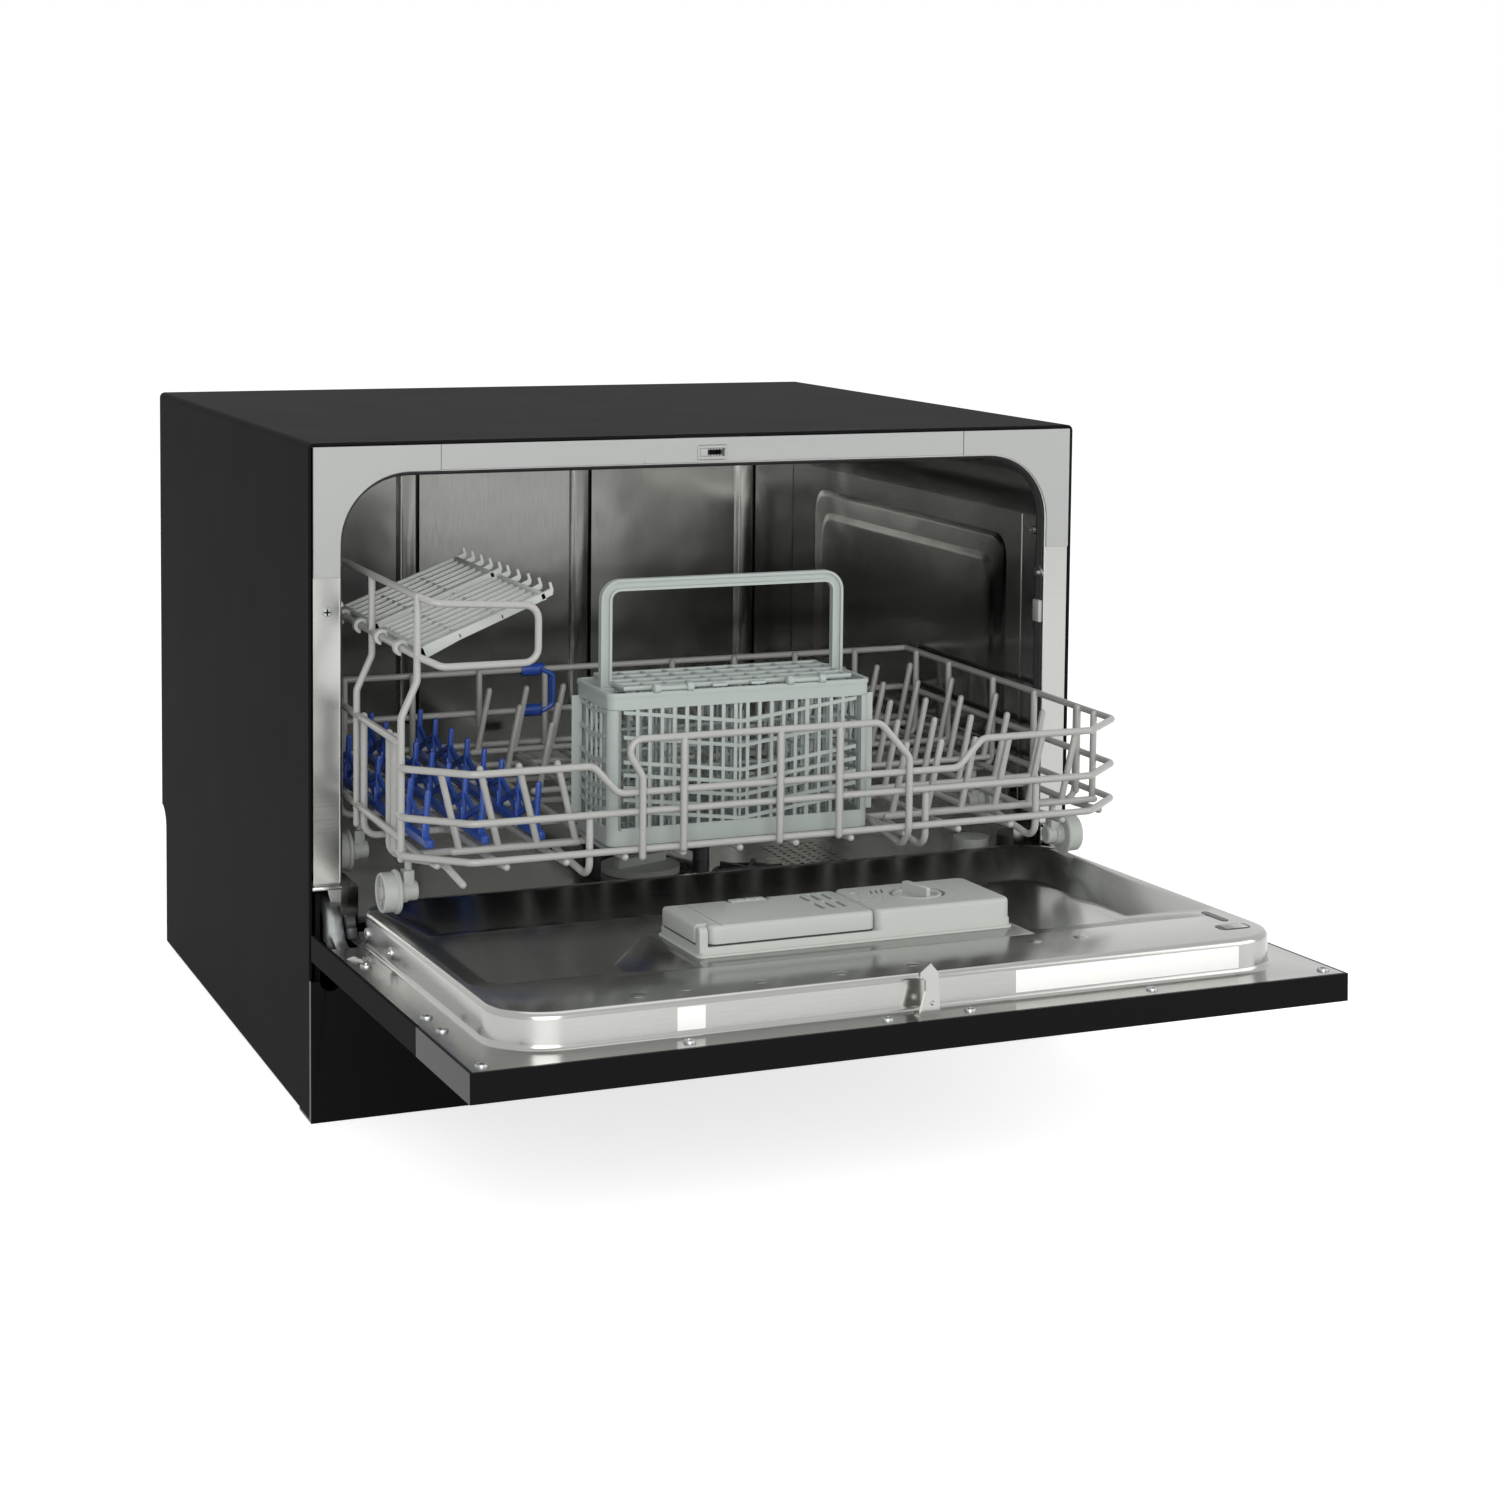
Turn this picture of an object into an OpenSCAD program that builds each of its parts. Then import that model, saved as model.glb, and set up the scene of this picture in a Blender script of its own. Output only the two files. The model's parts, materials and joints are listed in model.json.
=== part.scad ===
// Countertop dishwasher, standing with its door open and its basket drawn out.
// X runs to the right along the front, Y runs to the back and Z runs up.
// The origin is the middle of the plinth's lower edge, on the worktop.

/* [Cabinet] */
// Width across the side panels
cab_w = 550; // [548:1:552]
// Depth of the cabinet behind its front frame
cab_d = 485; // [483:1:488]
// Height from the worktop to the top panel
cab_h = 438; // [438:1:442]
// Thickness of the folded sheet of the casing
casing_t = 2; // [1.5:0.5:2.5]
// Height of the plinth under the door
plinth_h = 97; // [94:1:97]

/* [Tub] */
// Half of the width inside the tub
tub_half_w = 254.5; // [254:0.5:255]
// Height of the tub's roof above the worktop
tub_top = 418.5; // [418:0.5:420]
// Radius of the tub's two upper corners
tub_corner_r = 46; // [40:1:50]
// Height of the tub's floor above the worktop
tub_floor_z = 118; // [116:1:119]
// Where the tub's back wall stands
tub_back_y = 446; // [444:1:450]
// Thickness of the stainless sheet
sheet_t = 1.5; // [1.2:0.1:1.8]

/* [Door] */
// Length of the door from its hinge edge to its free edge
door_len = 343; // [342:0.5:343]
// Thickness of the door without the raised liner
door_t = 17; // [17:0.5:18]
// Height of the liner's raised rim above its flange
dish_h = 21; // [19:0.5:21]
// Length of the control panel, at the door's free end
panel_len = 103; // [100:1:106]
// Angle by which the open door stops short of level
door_tilt = 1.85; // [1.5:0.05:2]

/* [Basket] */
// Radius of the coated wire
wire_r = 2.3; // [2:0.1:2.5]
// Radius of a wheel's tread
wheel_r = 12.6; // [12:0.1:12.8]
// Height of the cup shelf rail
shelf_z = 317; // [310:1:320]
// Slope of the cup shelves at rest
shelf_tilt = 21; // [15:1:25]

/* [Hidden] */
$fn = 48;
gap = 0.3; // running gap between pieces that move past each other

// Cabinet
frame_y = 3; // front face of the stainless frame
frame_hw = 272; // half width of the frame
frame_top = cab_h - casing_t - 0.5;
frame_foot = 154; // the side strips end here, above the hinges
rear_y = cab_d - 4; // inner face of the rear panel
notch_z = 93; // the back of the casing steps in below this height
notch_d = 16; // depth of that step
tray_z = [9, 40];

// Hinge: the door's open and closed places fix the one axis it turns about
door_back_y = -3;
door_z = 107; // outer face of the open door
closed_y = -27; // outer face of the closed door
closed_z = 94.5; // lower edge of the closed door
pivot_y = (closed_y - door_z + closed_z + door_back_y) / 2;
pivot_z = pivot_y - closed_y + door_z;
pin_r = 2;
eye_r = 3.4;
bracket_x = [266.5, 269.5];
arm_x = [259, 265];
arm_c = [17.5, 106.5]; // centre of the arm's bend
arm_r = [30.5, 37.5];

// Door, drawn level
door_front_y = door_back_y - door_len;
seam_y = door_front_y + panel_len;
flange_z = door_z + door_t;
dish_z = flange_z + dish_h;
dish_hw = 250;
dish_back_y = -12;
dish_front_y = -322;
dish_corner_r = 36;
dish_floor_z = 129;
dish_top = [-243, -258, 243, -21]; // the hollow's edge at the rim: x, y, x, y
dish_low = [-215.5, -194, 215.5, -57]; // and at its floor
hook_y = -334;
slot_z = closed_z + door_back_y - hook_y;

// Dispenser
disp = [-102.5, -240, 102.5, -174];
disp_top = dish_z + 18.5;
lid_x = 11; // right edge of the detergent lid
lid_t = 11;
lid_foot = disp_top - lid_t; // underside of the shut lid
lid_axis = [-236.5, disp_top - 3.5];
knob_c = [55.5, -205];
knob_r = 15.5;

// Things in the tub's floor
filter_c = [55, 62];
filter_r = 26;
salt_c = [-9, 109];
salt_r = 27;
float_c = [222, 46];
pillar_c = [41, 118];
spray_c = [0, 222];
spray_len = 190;
spray_z = 150;
journal_r = 8;

// Basket, drawn out
rim_x = 245;
rim_y = -143.5; // front rims
split_y = -100; // where the front wires and the side wires meet
bevel = [211, -112]; // ends of the bevelled corner
back_y = 205;
low_z = 196.5;
mid_z = 220;
top_z = 250;
dip_z = 232;
grip_z = 265.5;
cross_y = [-68, -8, 54, 125, 180]; // the wires that cross under the floor and rise at the sides
floor_z = 190.5;
ball_fn = 6; // sides of a wire
ball_r = wire_r * 1.08;
tine_r = wire_r * 0.95;
wheel_y = [-62, 56];
wheel_z = 162.4;
ledge_z = 148.6; // the wheels run along ledges of this height
flange_r = 13.9;
wheel_x = [234.5, 237.5, 246]; // flange, tread, outer face
axle_r = 2.5;
shelf_x = -235;
shelf_len = 97;
shelf_top = 353.5;
post_y = [-106, -2, 95];
loop_y = -115; // front loop of the shelf frame

// Cutlery basket
cut = [-118, -125, 59, -61];
cut_z = [194.5, 290];
cut_wall = 2.4;
cut_axis = [cut[1] + 0.5, cut_z[1] + 1.8];
clip_x = [-76, 14];

// Buttons on the control panel
button_x = [-150, 70, 110];
button_y = -302;
button_r = 6;

// A flat outline in X and Z, given thickness from y0 to y1
module along_y(y0, y1) translate([0, y1, 0]) rotate([90, 0, 0]) linear_extrude(y1 - y0) children();
// An outline in Y and Z, given thickness from x0 to x1
module along_x(x0, x1) translate([x0, 0, 0]) rotate([90, 0, 90]) linear_extrude(x1 - x0) children();
module along_z(z0, z1) translate([0, 0, z0]) linear_extrude(z1 - z0) children();
// A block between two corners
module block(a, b) translate(a) cube(b - a);
module both() for (s = [0, 1]) mirror([s, 0, 0]) children();
module rod_x(x0, x1, y, z, r) translate([x0, y, z]) rotate([0, 90, 0]) cylinder(r = r, h = x1 - x0);
module rod_y(y0, y1, x, z, r) translate([x, y1, z]) rotate([90, 0, 0]) cylinder(r = r, h = y1 - y0);
module rod_z(z0, z1, c, r) translate([c[0], c[1], z0]) cylinder(r = r, h = z1 - z0);

// An outline with square feet and two round upper corners
module arch(hw, z0, z1, r) {
  translate([-hw, z0]) square([2 * hw, z1 - r - z0]);
  translate([-hw + r, z1 - r - 1]) square([2 * (hw - r), r + 1]);
  for (s = [-1, 1]) translate([s * (hw - r), z1 - r]) circle(r);
}
// A rectangle x0, y0, x1, y1 with its four corners rounded
module plate(b, r) {
  translate([b[0] + r, b[1]]) square([b[2] - b[0] - 2 * r, b[3] - b[1]]);
  translate([b[0], b[1] + r]) square([b[2] - b[0], b[3] - b[1] - 2 * r]);
  for (x = [b[0] + r, b[2] - r], y = [b[1] + r, b[3] - r]) translate([x, y]) circle(r);
}
// A bent wire through a list of points
module wire(points, r = ball_r) {
  for (i = [1:len(points) - 1]) hull() {
    translate(points[i - 1]) sphere(r, $fn = ball_fn);
    translate(points[i]) sphere(r, $fn = ball_fn);
  }
}

// Tips the level door up to where it stands open
module on_door() translate([0, pivot_y, pivot_z]) rotate([-door_tilt, 0, 0])
  translate([0, -pivot_y, -pivot_z]) children();

// ---------- cabinet ----------
module outer_casing() color("#2b2b2b") difference() {
  along_y(frame_y, cab_d) difference() {
    arch(cab_w / 2, 2, cab_h, 4);
    arch(cab_w / 2 - casing_t, 0, cab_h - casing_t, 2);
  }
  block([-cab_w, cab_d - notch_d, 0], [cab_w, cab_d + 1, notch_z]);
  rod_x(-cab_w, cab_w, cab_d, notch_z, notch_d);
}
module rear_panel() color("#262626") difference() {
  union() {
    along_y(rear_y, rear_y + 2) arch(cab_w / 2 - casing_t - 0.2, notch_z + 18, cab_h - casing_t - 0.2, 2);
    block([-270, rear_y - 16, notch_z + 16], [270, rear_y + 2, notch_z + 18]);
    along_y(rear_y - 18, rear_y - 16) translate([-270, 14]) square([540, notch_z + 4]);
    rod_y(rear_y - 16, rear_y - 6, 190, 60, 9);
  }
  for (x = [-190:20:-90], z = [300, 340]) block([x, rear_y - 1, z], [x + 10, rear_y + 3, z + 24]);
  rod_y(rear_y - 20, rear_y, -150, 58, 14);
  rod_y(rear_y - 20, rear_y, 90, 52, 10.5);
  rod_y(rear_y - 20, rear_y, 190, 60, 4.2);
}
module plinth_panel() color("#1c1c1c") difference() {
  union() {
    block([-cab_w / 2, -2, 0], [cab_w / 2, 0, plinth_h]);
    block([-cab_w / 2, -2, 0], [cab_w / 2, 30, 2]);
    both() block([cab_w / 2 - 2, -2, 0], [cab_w / 2, frame_y - 0.2, plinth_h]);
  }
  both() {
    block([255, -3, plinth_h - 4], [cab_w, 31, plinth_h + 1]);
    rod_y(-3, 31, 262, plinth_h - 4, 7);
  }
}
module base_tray() color("#3a3a3a") difference() {
  block([-270, 32, tray_z[0]], [270, rear_y - 19, tray_z[1]]);
  block([-268, 34, tray_z[0] + 2], [268, rear_y - 21, tray_z[1] + 1]);
}
module feet() color("#141414") for (x = [-240, 240], y = [60, rear_y - 50]) {
  rod_z(0, 6, [x, y], 15);
  rod_z(6, 9, [x, y], 11);
}
module front_trim() color("#8f9391") difference() {
  block([-188, frame_y - 1.2, tub_top + 0.5], [188, frame_y, frame_top]);
  along_y(frame_y - 2, frame_y + 1) plate([-11, slot_z - 5, 11, slot_z + 5], 2);
}
module corner_caps() color("#a9aba9") both() along_y(frame_y - 1.5, frame_y) difference() {
  translate([188.3, 352]) square([frame_hw - 188.3, frame_top - 352]);
  arch(tub_half_w, 0, tub_top, tub_corner_r);
}
module front_frame() color("#c6c6c4") along_y(frame_y, frame_y + sheet_t) difference() {
  translate([-frame_hw, frame_foot]) square([2 * frame_hw, frame_top - frame_foot]);
  arch(tub_half_w, 104, tub_top, tub_corner_r);
  translate([-12, slot_z - 5.5]) square([24, 11]);
}
module tub_wrap() color("#c9c9c7") along_y(frame_y + sheet_t, tub_back_y) difference() {
  arch(tub_half_w + sheet_t, 100, tub_top + sheet_t, tub_corner_r + sheet_t);
  arch(tub_half_w, 99, tub_top, tub_corner_r);
}
module tub_back() color("#bdbdbb") {
  along_y(tub_back_y, tub_back_y + sheet_t) arch(tub_half_w + sheet_t, 100, tub_top + sheet_t, tub_corner_r);
  for (x = [-231, -84, 63, 210]) block([x - 7, tub_back_y - 2, 170], [x + 7, tub_back_y, 402]);
}
module tub_floor() color("#b9b9b7") difference() {
  union() {
    along_y(16, tub_back_y) difference() {
      translate([-tub_half_w, tub_floor_z - sheet_t]) square([2 * tub_half_w, ledge_z - tub_floor_z + sheet_t]);
      translate([-239.5, tub_floor_z]) square([479, 60]);
      for (s = [-1, 1]) translate([s * 258.5 - 17.5, 100]) square([35, ledge_z - sheet_t - 100]);
    }
    block([-tub_half_w, 14.5, 100], [tub_half_w, 16, 124]);
    both() block([239.5, 14.5, 100], [tub_half_w, 16, ledge_z]);
  }
  rod_z(100, 130, filter_c, filter_r + 5);
  rod_z(100, 130, salt_c, salt_r - 2);
}
module door_gasket() color("#333333") {
  along_y(5, 15) difference() {
    arch(tub_half_w - 0.2, 155, tub_top - 0.2, tub_corner_r);
    arch(tub_half_w - 3.2, 154, tub_top - 3.7, dish_corner_r + 1);
  }
  block([-238, 16.2, 119.5], [238, 20, 127]);
}
module hinge_brackets() color("#9a9c9c") both() difference() {
  union() {
    along_x(bracket_x[0], bracket_x[1]) {
      translate([pivot_y, pivot_z]) circle(eye_r);
      translate([pivot_y, pivot_z - eye_r]) square([34, 2 * eye_r]);
      translate([8, tray_z[1]]) square([44, 148 - tray_z[1]]);
    }
    block([257, 36, tray_z[1]], [bracket_x[1], 52, tray_z[1] + 3]);
    rod_x(257.5, bracket_x[1] + 1, pivot_y, pivot_z, pin_r);
  }
  for (z = [60, 132]) rod_x(260, 275, 38, z, 2.5);
}
module door_springs() color("#8a8c8c") both() translate([264.5, 90, 150]) {
  for (k = [0:13]) translate([0, 0, 8 * k]) rotate_extrude() translate([5, 0]) square([2, 6]);
  for (k = [0:12]) translate([0, 0, 8 * k + 6]) rotate_extrude() translate([5.4, 0]) square([1.2, 2]);
}

// ---------- under the tub ----------
module sump() color("#4a4c4e") difference() {
  union() {
    rod_z(52, tub_floor_z - 1.6, filter_c, filter_r + 12);
    rod_z(tub_floor_z - 4, tub_floor_z - 1.6, filter_c, filter_r + 15);
  }
  rod_z(56, tub_floor_z, filter_c, filter_r + 8);
  rod_x(filter_c[0], filter_c[0] + 60, filter_c[1], 70, 9);
}
module filter_plate() color("#a8a8a6") difference() {
  along_z(tub_floor_z + 0.1, tub_floor_z + 2.5) plate([21, 24, 150, 152], 14);
  rod_z(tub_floor_z - 1, tub_floor_z + 4, filter_c, filter_r + 0.4);
  rod_z(tub_floor_z - 1, tub_floor_z + 4, pillar_c, 6.3);
  for (x = [96:8:136], y = [40:8:136]) rod_z(tub_floor_z - 1, tub_floor_z + 4, [x, y], 1.8);
}
module filter_cup() color("#5b6064") {
  difference() {
    rod_z(66, tub_floor_z + 5, filter_c, filter_r);
    rod_z(69, tub_floor_z + 6, filter_c, filter_r - 2);
    translate([filter_c[0], filter_c[1], 74]) for (a = [0:30:330]) rotate(a)
      block([filter_r - 5, -2, 0], [filter_r + 2, 2, 38]);
  }
  translate([filter_c[0], filter_c[1], tub_floor_z]) for (a = [0, 60, 120]) rotate(a)
    block([1 - filter_r, -1.5, 0], [filter_r - 1, 1.5, 8]);
}
module spray_riser() color("#9da19f") {
  difference() {
    union() {
      rod_z(tub_floor_z, spray_z - 3, spray_c, 13);
      rod_z(spray_z - 3, spray_z + 14, spray_c, journal_r);
      rod_z(tub_floor_z, 138, pillar_c, 6);
      translate(pillar_c) rotate(atan2(spray_c[1] - pillar_c[1], spray_c[0] - pillar_c[0]))
        block([0, -5, 126], [102, 5, 137]);
    }
    rod_z(tub_floor_z + 4, spray_z + 15, spray_c, 5.5);
  }
}
module spray_arm() color("#c4c4c2") difference() {
  union() {
    rod_z(spray_z, spray_z + 12, spray_c, 20);
    translate([spray_c[0], spray_c[1], spray_z + 1]) linear_extrude(8) for (a = [-90, 90]) rotate(a) {
      polygon([[0, -17], [0, 17], [spray_len - 11, 11], [spray_len - 11, -11]]);
      translate([spray_len - 11, 0]) circle(11);
    }
    rod_z(spray_z + 12, spray_z + 18, spray_c, 11);
  }
  rod_z(spray_z - 1, spray_z + 15, spray_c, journal_r + 0.06);
  translate([spray_c[0], spray_c[1], spray_z]) for (a = [-90, 90], k = [0:4]) rotate(a)
    translate([50 + 28 * k, 5 - 2 * k, 5]) cylinder(r = 1.6, h = 6, $fn = 24);
}
module softener_tank() color("#dcdcd8") difference() {
  rod_z(46, tub_floor_z - 1.7, salt_c, salt_r + 4);
  rod_z(50, tub_floor_z, salt_c, salt_r - 2.4);
}
module salt_cap() color("#8d9290") {
  rod_z(tub_floor_z - 14, tub_floor_z + 0.3, salt_c, salt_r - 3);
  rod_z(tub_floor_z + 0.3, tub_floor_z + 5, salt_c, salt_r + 1);
  translate([salt_c[0], salt_c[1], tub_floor_z]) rotate(20) block([-22, -2.5, 4], [22, 2.5, 11]);
}
module float_dome() color("#9da19f") difference() {
  rod_z(tub_floor_z + 0.6, tub_floor_z + 20, float_c, 13);
  rod_z(tub_floor_z, tub_floor_z + 17, float_c, 11);
}
module wash_pump() color("#3c3f42") {
  rod_x(140, 162, filter_c[1], 70, 30);
  rod_x(162, 224, filter_c[1], 70, 25);
  rod_x(224, 230, filter_c[1], 70, 12);
}
module water_heater() color("#a0a2a2") difference() {
  rod_x(filter_c[0] + filter_r + 12.1, 139.9, filter_c[1], 70, 16);
  rod_x(80, 140, filter_c[1], 70, 8);
}
module drain_pump() color("#2f5f8a") {
  rod_y(360, 400, 90, 52, 20);
  rod_y(400, 420, 90, 52, 26);
  difference() {
    rod_y(420, rear_y + 2, 90, 52, 9.5);
    rod_y(424, rear_y + 3, 90, 52, 7);
  }
}
module inlet_valve() color("#e4e4e0") {
  block([-172, 396, 38], [-128, 440, 78]);
  difference() {
    rod_y(440, rear_y + 2, -150, 58, 13.1);
    rod_y(444, rear_y + 3, -150, 58, 8);
  }
}
module air_break() color("#d9d9d2") difference() {
  block([-271.5, 130, 130], [-258, 350, 370]);
  for (z = [160, 220, 280]) block([-272, 150, z], [-268, 330, z + 30]);
}
module latch_catch() color("#2a2a2a") difference() {
  block([-26, frame_y + sheet_t + 0.1, tub_top + sheet_t + 0.1], [26, 34, cab_h - casing_t - 0.1]);
  block([-12, frame_y, slot_z - 5], [12, 27, slot_z + 5]);
}
module casing_screws() color("#6f7172") {
  for (x = [-255, 255], z = [130, 280, 420]) rod_y(rear_y + 2, rear_y + 3.6, x, z, 4);
  both() for (z = [185, 330]) rod_y(frame_y - 1.6, frame_y, 263, z, 3);
}

// ---------- door ----------
// The skin and the side walls of the door between y0 and y1
module door_shell(y0, y1) {
  block([-cab_w / 2, y0, door_z], [cab_w / 2, y1, door_z + 2]);
  both() block([cab_w / 2 - 2, y0, door_z], [cab_w / 2, y1, flange_z]);
}
module door_panel() on_door() color("#1e1e1e") {
  door_shell(seam_y + 0.4, door_back_y);
  block([-254, door_back_y - 2, door_z], [254, door_back_y, flange_z - 1.4]);
  both() block([cab_w / 2 - 2, door_back_y - 2, door_z], [cab_w / 2, door_back_y, flange_z]);
}
module control_panel() on_door() color("#1a1a1a") difference() {
  union() {
    door_shell(door_front_y, seam_y);
    block([-cab_w / 2, door_front_y, door_z], [cab_w / 2, door_front_y + 2, flange_z]);
    block([-80, seam_y - 37, door_z], [80, seam_y - 5, door_z + 13]);
  }
  block([-78, seam_y - 35, door_z - 1], [78, seam_y - 7, door_z + 11]);
  block([-40, button_y - 13, door_z - 1], [40, button_y + 13, door_z + 3]);
  for (x = button_x) rod_z(door_z - 1, door_z + 3, [x, button_y], button_r + gap);
}
module display_window() on_door() color("#0c0c10") along_z(door_z + 0.2, door_z + 2)
  plate([-39.8, button_y - 12.8, 39.8, button_y + 12.8], 1);
module button(x) on_door() color("#b9bbba") {
  rod_z(door_z - 1.2, door_z + 3.5, [x, button_y], button_r);
  rod_z(door_z + 2.3, door_z + 3.5, [x, button_y], button_r + 1.5);
}
module power_button() button(button_x[0]);
module program_button() button(button_x[1]);
module start_button() button(button_x[2]);
module control_board() on_door() color("#1f6b3a") block([-170, -340, door_z + 7], [170, -286, door_z + 9]);

// A hollow with sloping sides, between a rim rectangle and a floor rectangle
module slope(rim, low, z0, z1) hull() {
  translate([rim[0], rim[1], z1]) cube([rim[2] - rim[0], rim[3] - rim[1], 0.01]);
  translate([low[0], low[1], z0]) cube([low[2] - low[0], low[3] - low[1], 0.01]);
}
module dish_outline(inset)
  plate([-dish_hw + inset, dish_front_y + inset, dish_hw - inset, dish_back_y - inset], dish_corner_r - inset);
module door_liner() on_door() color("#c8c8c6") {
  difference() {
    union() {
      along_z(flange_z - 1.2, flange_z)
        translate([-272.8, door_front_y + 2.2]) square([545.6, door_len - 4.4]);
      along_z(flange_z - 1.2, dish_z) dish_outline(0);
      translate([0, 0, -1.2]) slope(dish_top + [-1, -1, 1, 1], dish_low + [-1, -1, 1, 1], dish_floor_z, dish_z);
    }
    difference() {
      along_z(flange_z - 2, dish_z - 1.2) dish_outline(1.2);
      translate([0, 0, -1.2]) slope(dish_top + [-1, -1, 1, 1], dish_low + [-1, -1, 1, 1], dish_floor_z, dish_z);
    }
    difference() {
      slope(dish_top, dish_low, dish_floor_z, dish_z + 0.1);
      slope([disp[0] - 6, dish_top[1] - 5, disp[2] + 6, disp[3] + 9],
        [disp[0] - 29, dish_top[1] - 5, disp[2] + 29, -106], dish_floor_z - 2, dish_z);
    }
    block([disp[0] + 5, disp[1] + 5, flange_z - 3], [disp[2] - 5, disp[3] - 5, dish_z + 1]);
    both() block([255, -46, flange_z - 2], [275, 0, flange_z + 1]);
  }
}
module hinge_arms() on_door() color("#b4b6b6") both() difference() {
  along_x(arm_x[0], arm_x[1]) {
    difference() {
      translate(arm_c) circle(arm_r[1]);
      translate(arm_c) circle(arm_r[0]);
      translate([arm_c[0] - 60, arm_c[1] - 60]) square([120, 65]);
      translate([arm_c[0], arm_c[1] - 10]) square([60, 60]);
    }
    translate([arm_c[0] - 0.5, arm_c[1] + arm_r[0]]) square([10, arm_r[1] - arm_r[0]]);
    translate([-96, door_z + 2.2]) square([80, door_t - 4]);
    translate([pivot_y, pivot_z]) circle(eye_r - 0.1);
  }
  rod_x(250, 275, pivot_y, pivot_z, pin_r + 0.06);
  for (y = [-90, -50]) rod_x(250, 275, y, door_z + 9, 2.5);
}
module liner_screws() on_door() color("#d0d0ce") {
  both() for (x = [265, 146, 26]) rod_z(flange_z, flange_z + 1.4, [x, hook_y], 3.6);
  both() for (y = [-258, -227, -96]) rod_z(flange_z, flange_z + 1.4, [264, y], 3.6);
  both() for (y = [-48, -103]) rod_x(dish_hw, dish_hw + 1.4, y, flange_z + 8.5, 3.6);
}
module latch_hook() on_door() color("#c2c4c4") difference() {
  union() {
    along_y(hook_y - 1.2, hook_y + 1.2)
      polygon([[-6.5, flange_z], [6.5, flange_z], [5.5, 148], [0.5, 154], [-6, 149], [-6, 146], [-2.5, 146],
        [-2.5, 138]]);
    block([-6.5, hook_y - 1.2, flange_z], [6.5, hook_y + 6, flange_z + 1.6]);
  }
  rod_y(hook_y - 3, hook_y + 3, 1.5, flange_z + 7, 1.4);
}
module dispenser_body() on_door() color("#b2b6b2") {
  block([-60, disp[3] - 2.6, dish_z + 1], [-35, disp[3] + 1.5, disp_top + 1.2]);
  difference() {
    block([disp[0], disp[1] + 0.3, lid_foot - 1.2], [disp[0] + 5.4, lid_axis[0] + 3.4, disp_top - 0.5]);
    rod_x(disp[0] - 1, disp[0] + 7, lid_axis[0], lid_axis[1], 1.16);
  }
  difference() {
    union() {
      along_z(dish_z + 0.1, lid_foot - 0.5) plate(disp, 5);
      along_z(lid_foot - 0.5, disp_top) plate([lid_x + 0.6, disp[1], disp[2], disp[3]], 5);
      block([disp[0] + 5.5, disp[1] + 5.5, door_z + 6], [disp[2] - 5.5, disp[3] - 5.5, dish_z + 1]);
    }
    block([-90, -224, door_z + 14], [2, -186, disp_top]);
    block([disp[0] - 1, disp[1] - 1, lid_foot - 1.1], [lid_x + 0.6, lid_axis[0] + 5, disp_top]);
    rod_z(disp_top - 7, disp_top + 1, knob_c, knob_r + 0.5);
  }
}
module detergent_lid() on_door() color("#b6bab6") {
  rod_x(disp[0] + 1, disp[0] + 8, lid_axis[0], lid_axis[1], 1.1);
  difference() {
    along_z(lid_foot, disp_top) plate([disp[0], disp[1], lid_x, disp[3] - 3], 3);
    block([disp[0] + 3, lid_axis[0] + 8, lid_foot - 1], [lid_x - 3, disp[3] - 6, disp_top - 2.5]);
    for (x = [-19, -8, 3], y = [-214, -196]) block([x, y, disp_top - 3], [x + 4, y + 13, disp_top + 1]);
    block([disp[0] - 1, disp[1] - 1, lid_foot - 1], [disp[0] + 6, lid_axis[0] + 5.4, disp_top + 1]);
  }
}
module rinse_aid_knob() on_door() color("#aeb2ae") {
  rod_z(disp_top - 6.9, disp_top - 2, knob_c, knob_r);
  translate([knob_c[0], knob_c[1], disp_top - 2]) rotate(-35) block([-knob_r + 1, -1.8, -0.5], [knob_r - 1, 1.8, 3]);
}

// ---------- basket ----------
function rim(z) = [[-rim_x, split_y, z], [-rim_x, bevel[1], z], [-bevel[0], rim_y, z],
  [bevel[0], rim_y, z], [rim_x, bevel[1], z], [rim_x, split_y, z]];
module basket_front() color("#a8a8a6") {
  for (z = [low_z, mid_z]) wire(rim(z));
  wire([[-rim_x, split_y, top_z], [-rim_x, bevel[1], top_z], [-bevel[0], rim_y, top_z], [-135, rim_y, top_z],
    [-118.5, rim_y, dip_z], [113.5, rim_y, dip_z], [130.5, rim_y, top_z], [bevel[0], rim_y, top_z],
    [rim_x, bevel[1], top_z], [rim_x, split_y, top_z]]);
  wire([[-104, rim_y - 3.4, low_z], [-104, rim_y - 3.4, 242], [-118, rim_y - 3.4, grip_z], [56, rim_y - 3.4, grip_z],
    [77, rim_y - 3.4, 242], [77, rim_y - 3.4, low_z - 2]]);
  for (x = [-77, -12.5, 28]) wire([[x, rim_y - 3.4, low_z - 1], [x, rim_y - 3.4, grip_z]]);
  for (x = [-136, 92, 172]) wire([[x, rim_y + 3.4, mid_z], [x, rim_y + 3.4, 186], [x, rim_y + 12, 181],
    [x - 8, rim_y + 44, floor_z]]);
}
module basket_sides() color("#a8a8a6") {
  for (z = [206, 264]) wire([[-rim_x, -105, z], [-rim_x, post_y[1], z], [-rim_x, back_y, z]]);
  for (z = [low_z, mid_z, top_z]) wire([[rim_x, split_y, z], [rim_x, post_y[1], z], [rim_x, back_y, z]]);
  wire([[3.2 - rim_x, -80, low_z - 3], [3.2 - rim_x, -80, 264]]);
  wire([[rim_x - 3.2, -92, low_z - 3], [rim_x - 3.2, -92, top_z]]);
}
module basket_back() color("#a8a8a6") {
  for (z = [low_z, mid_z, top_z]) wire([[-rim_x, back_y, z], [rim_x, back_y, z]]);
  for (x = [-200:50:200]) wire([[x, back_y - 3.4, low_z - 5], [x, back_y - 3.4, top_z]]);
}
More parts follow.
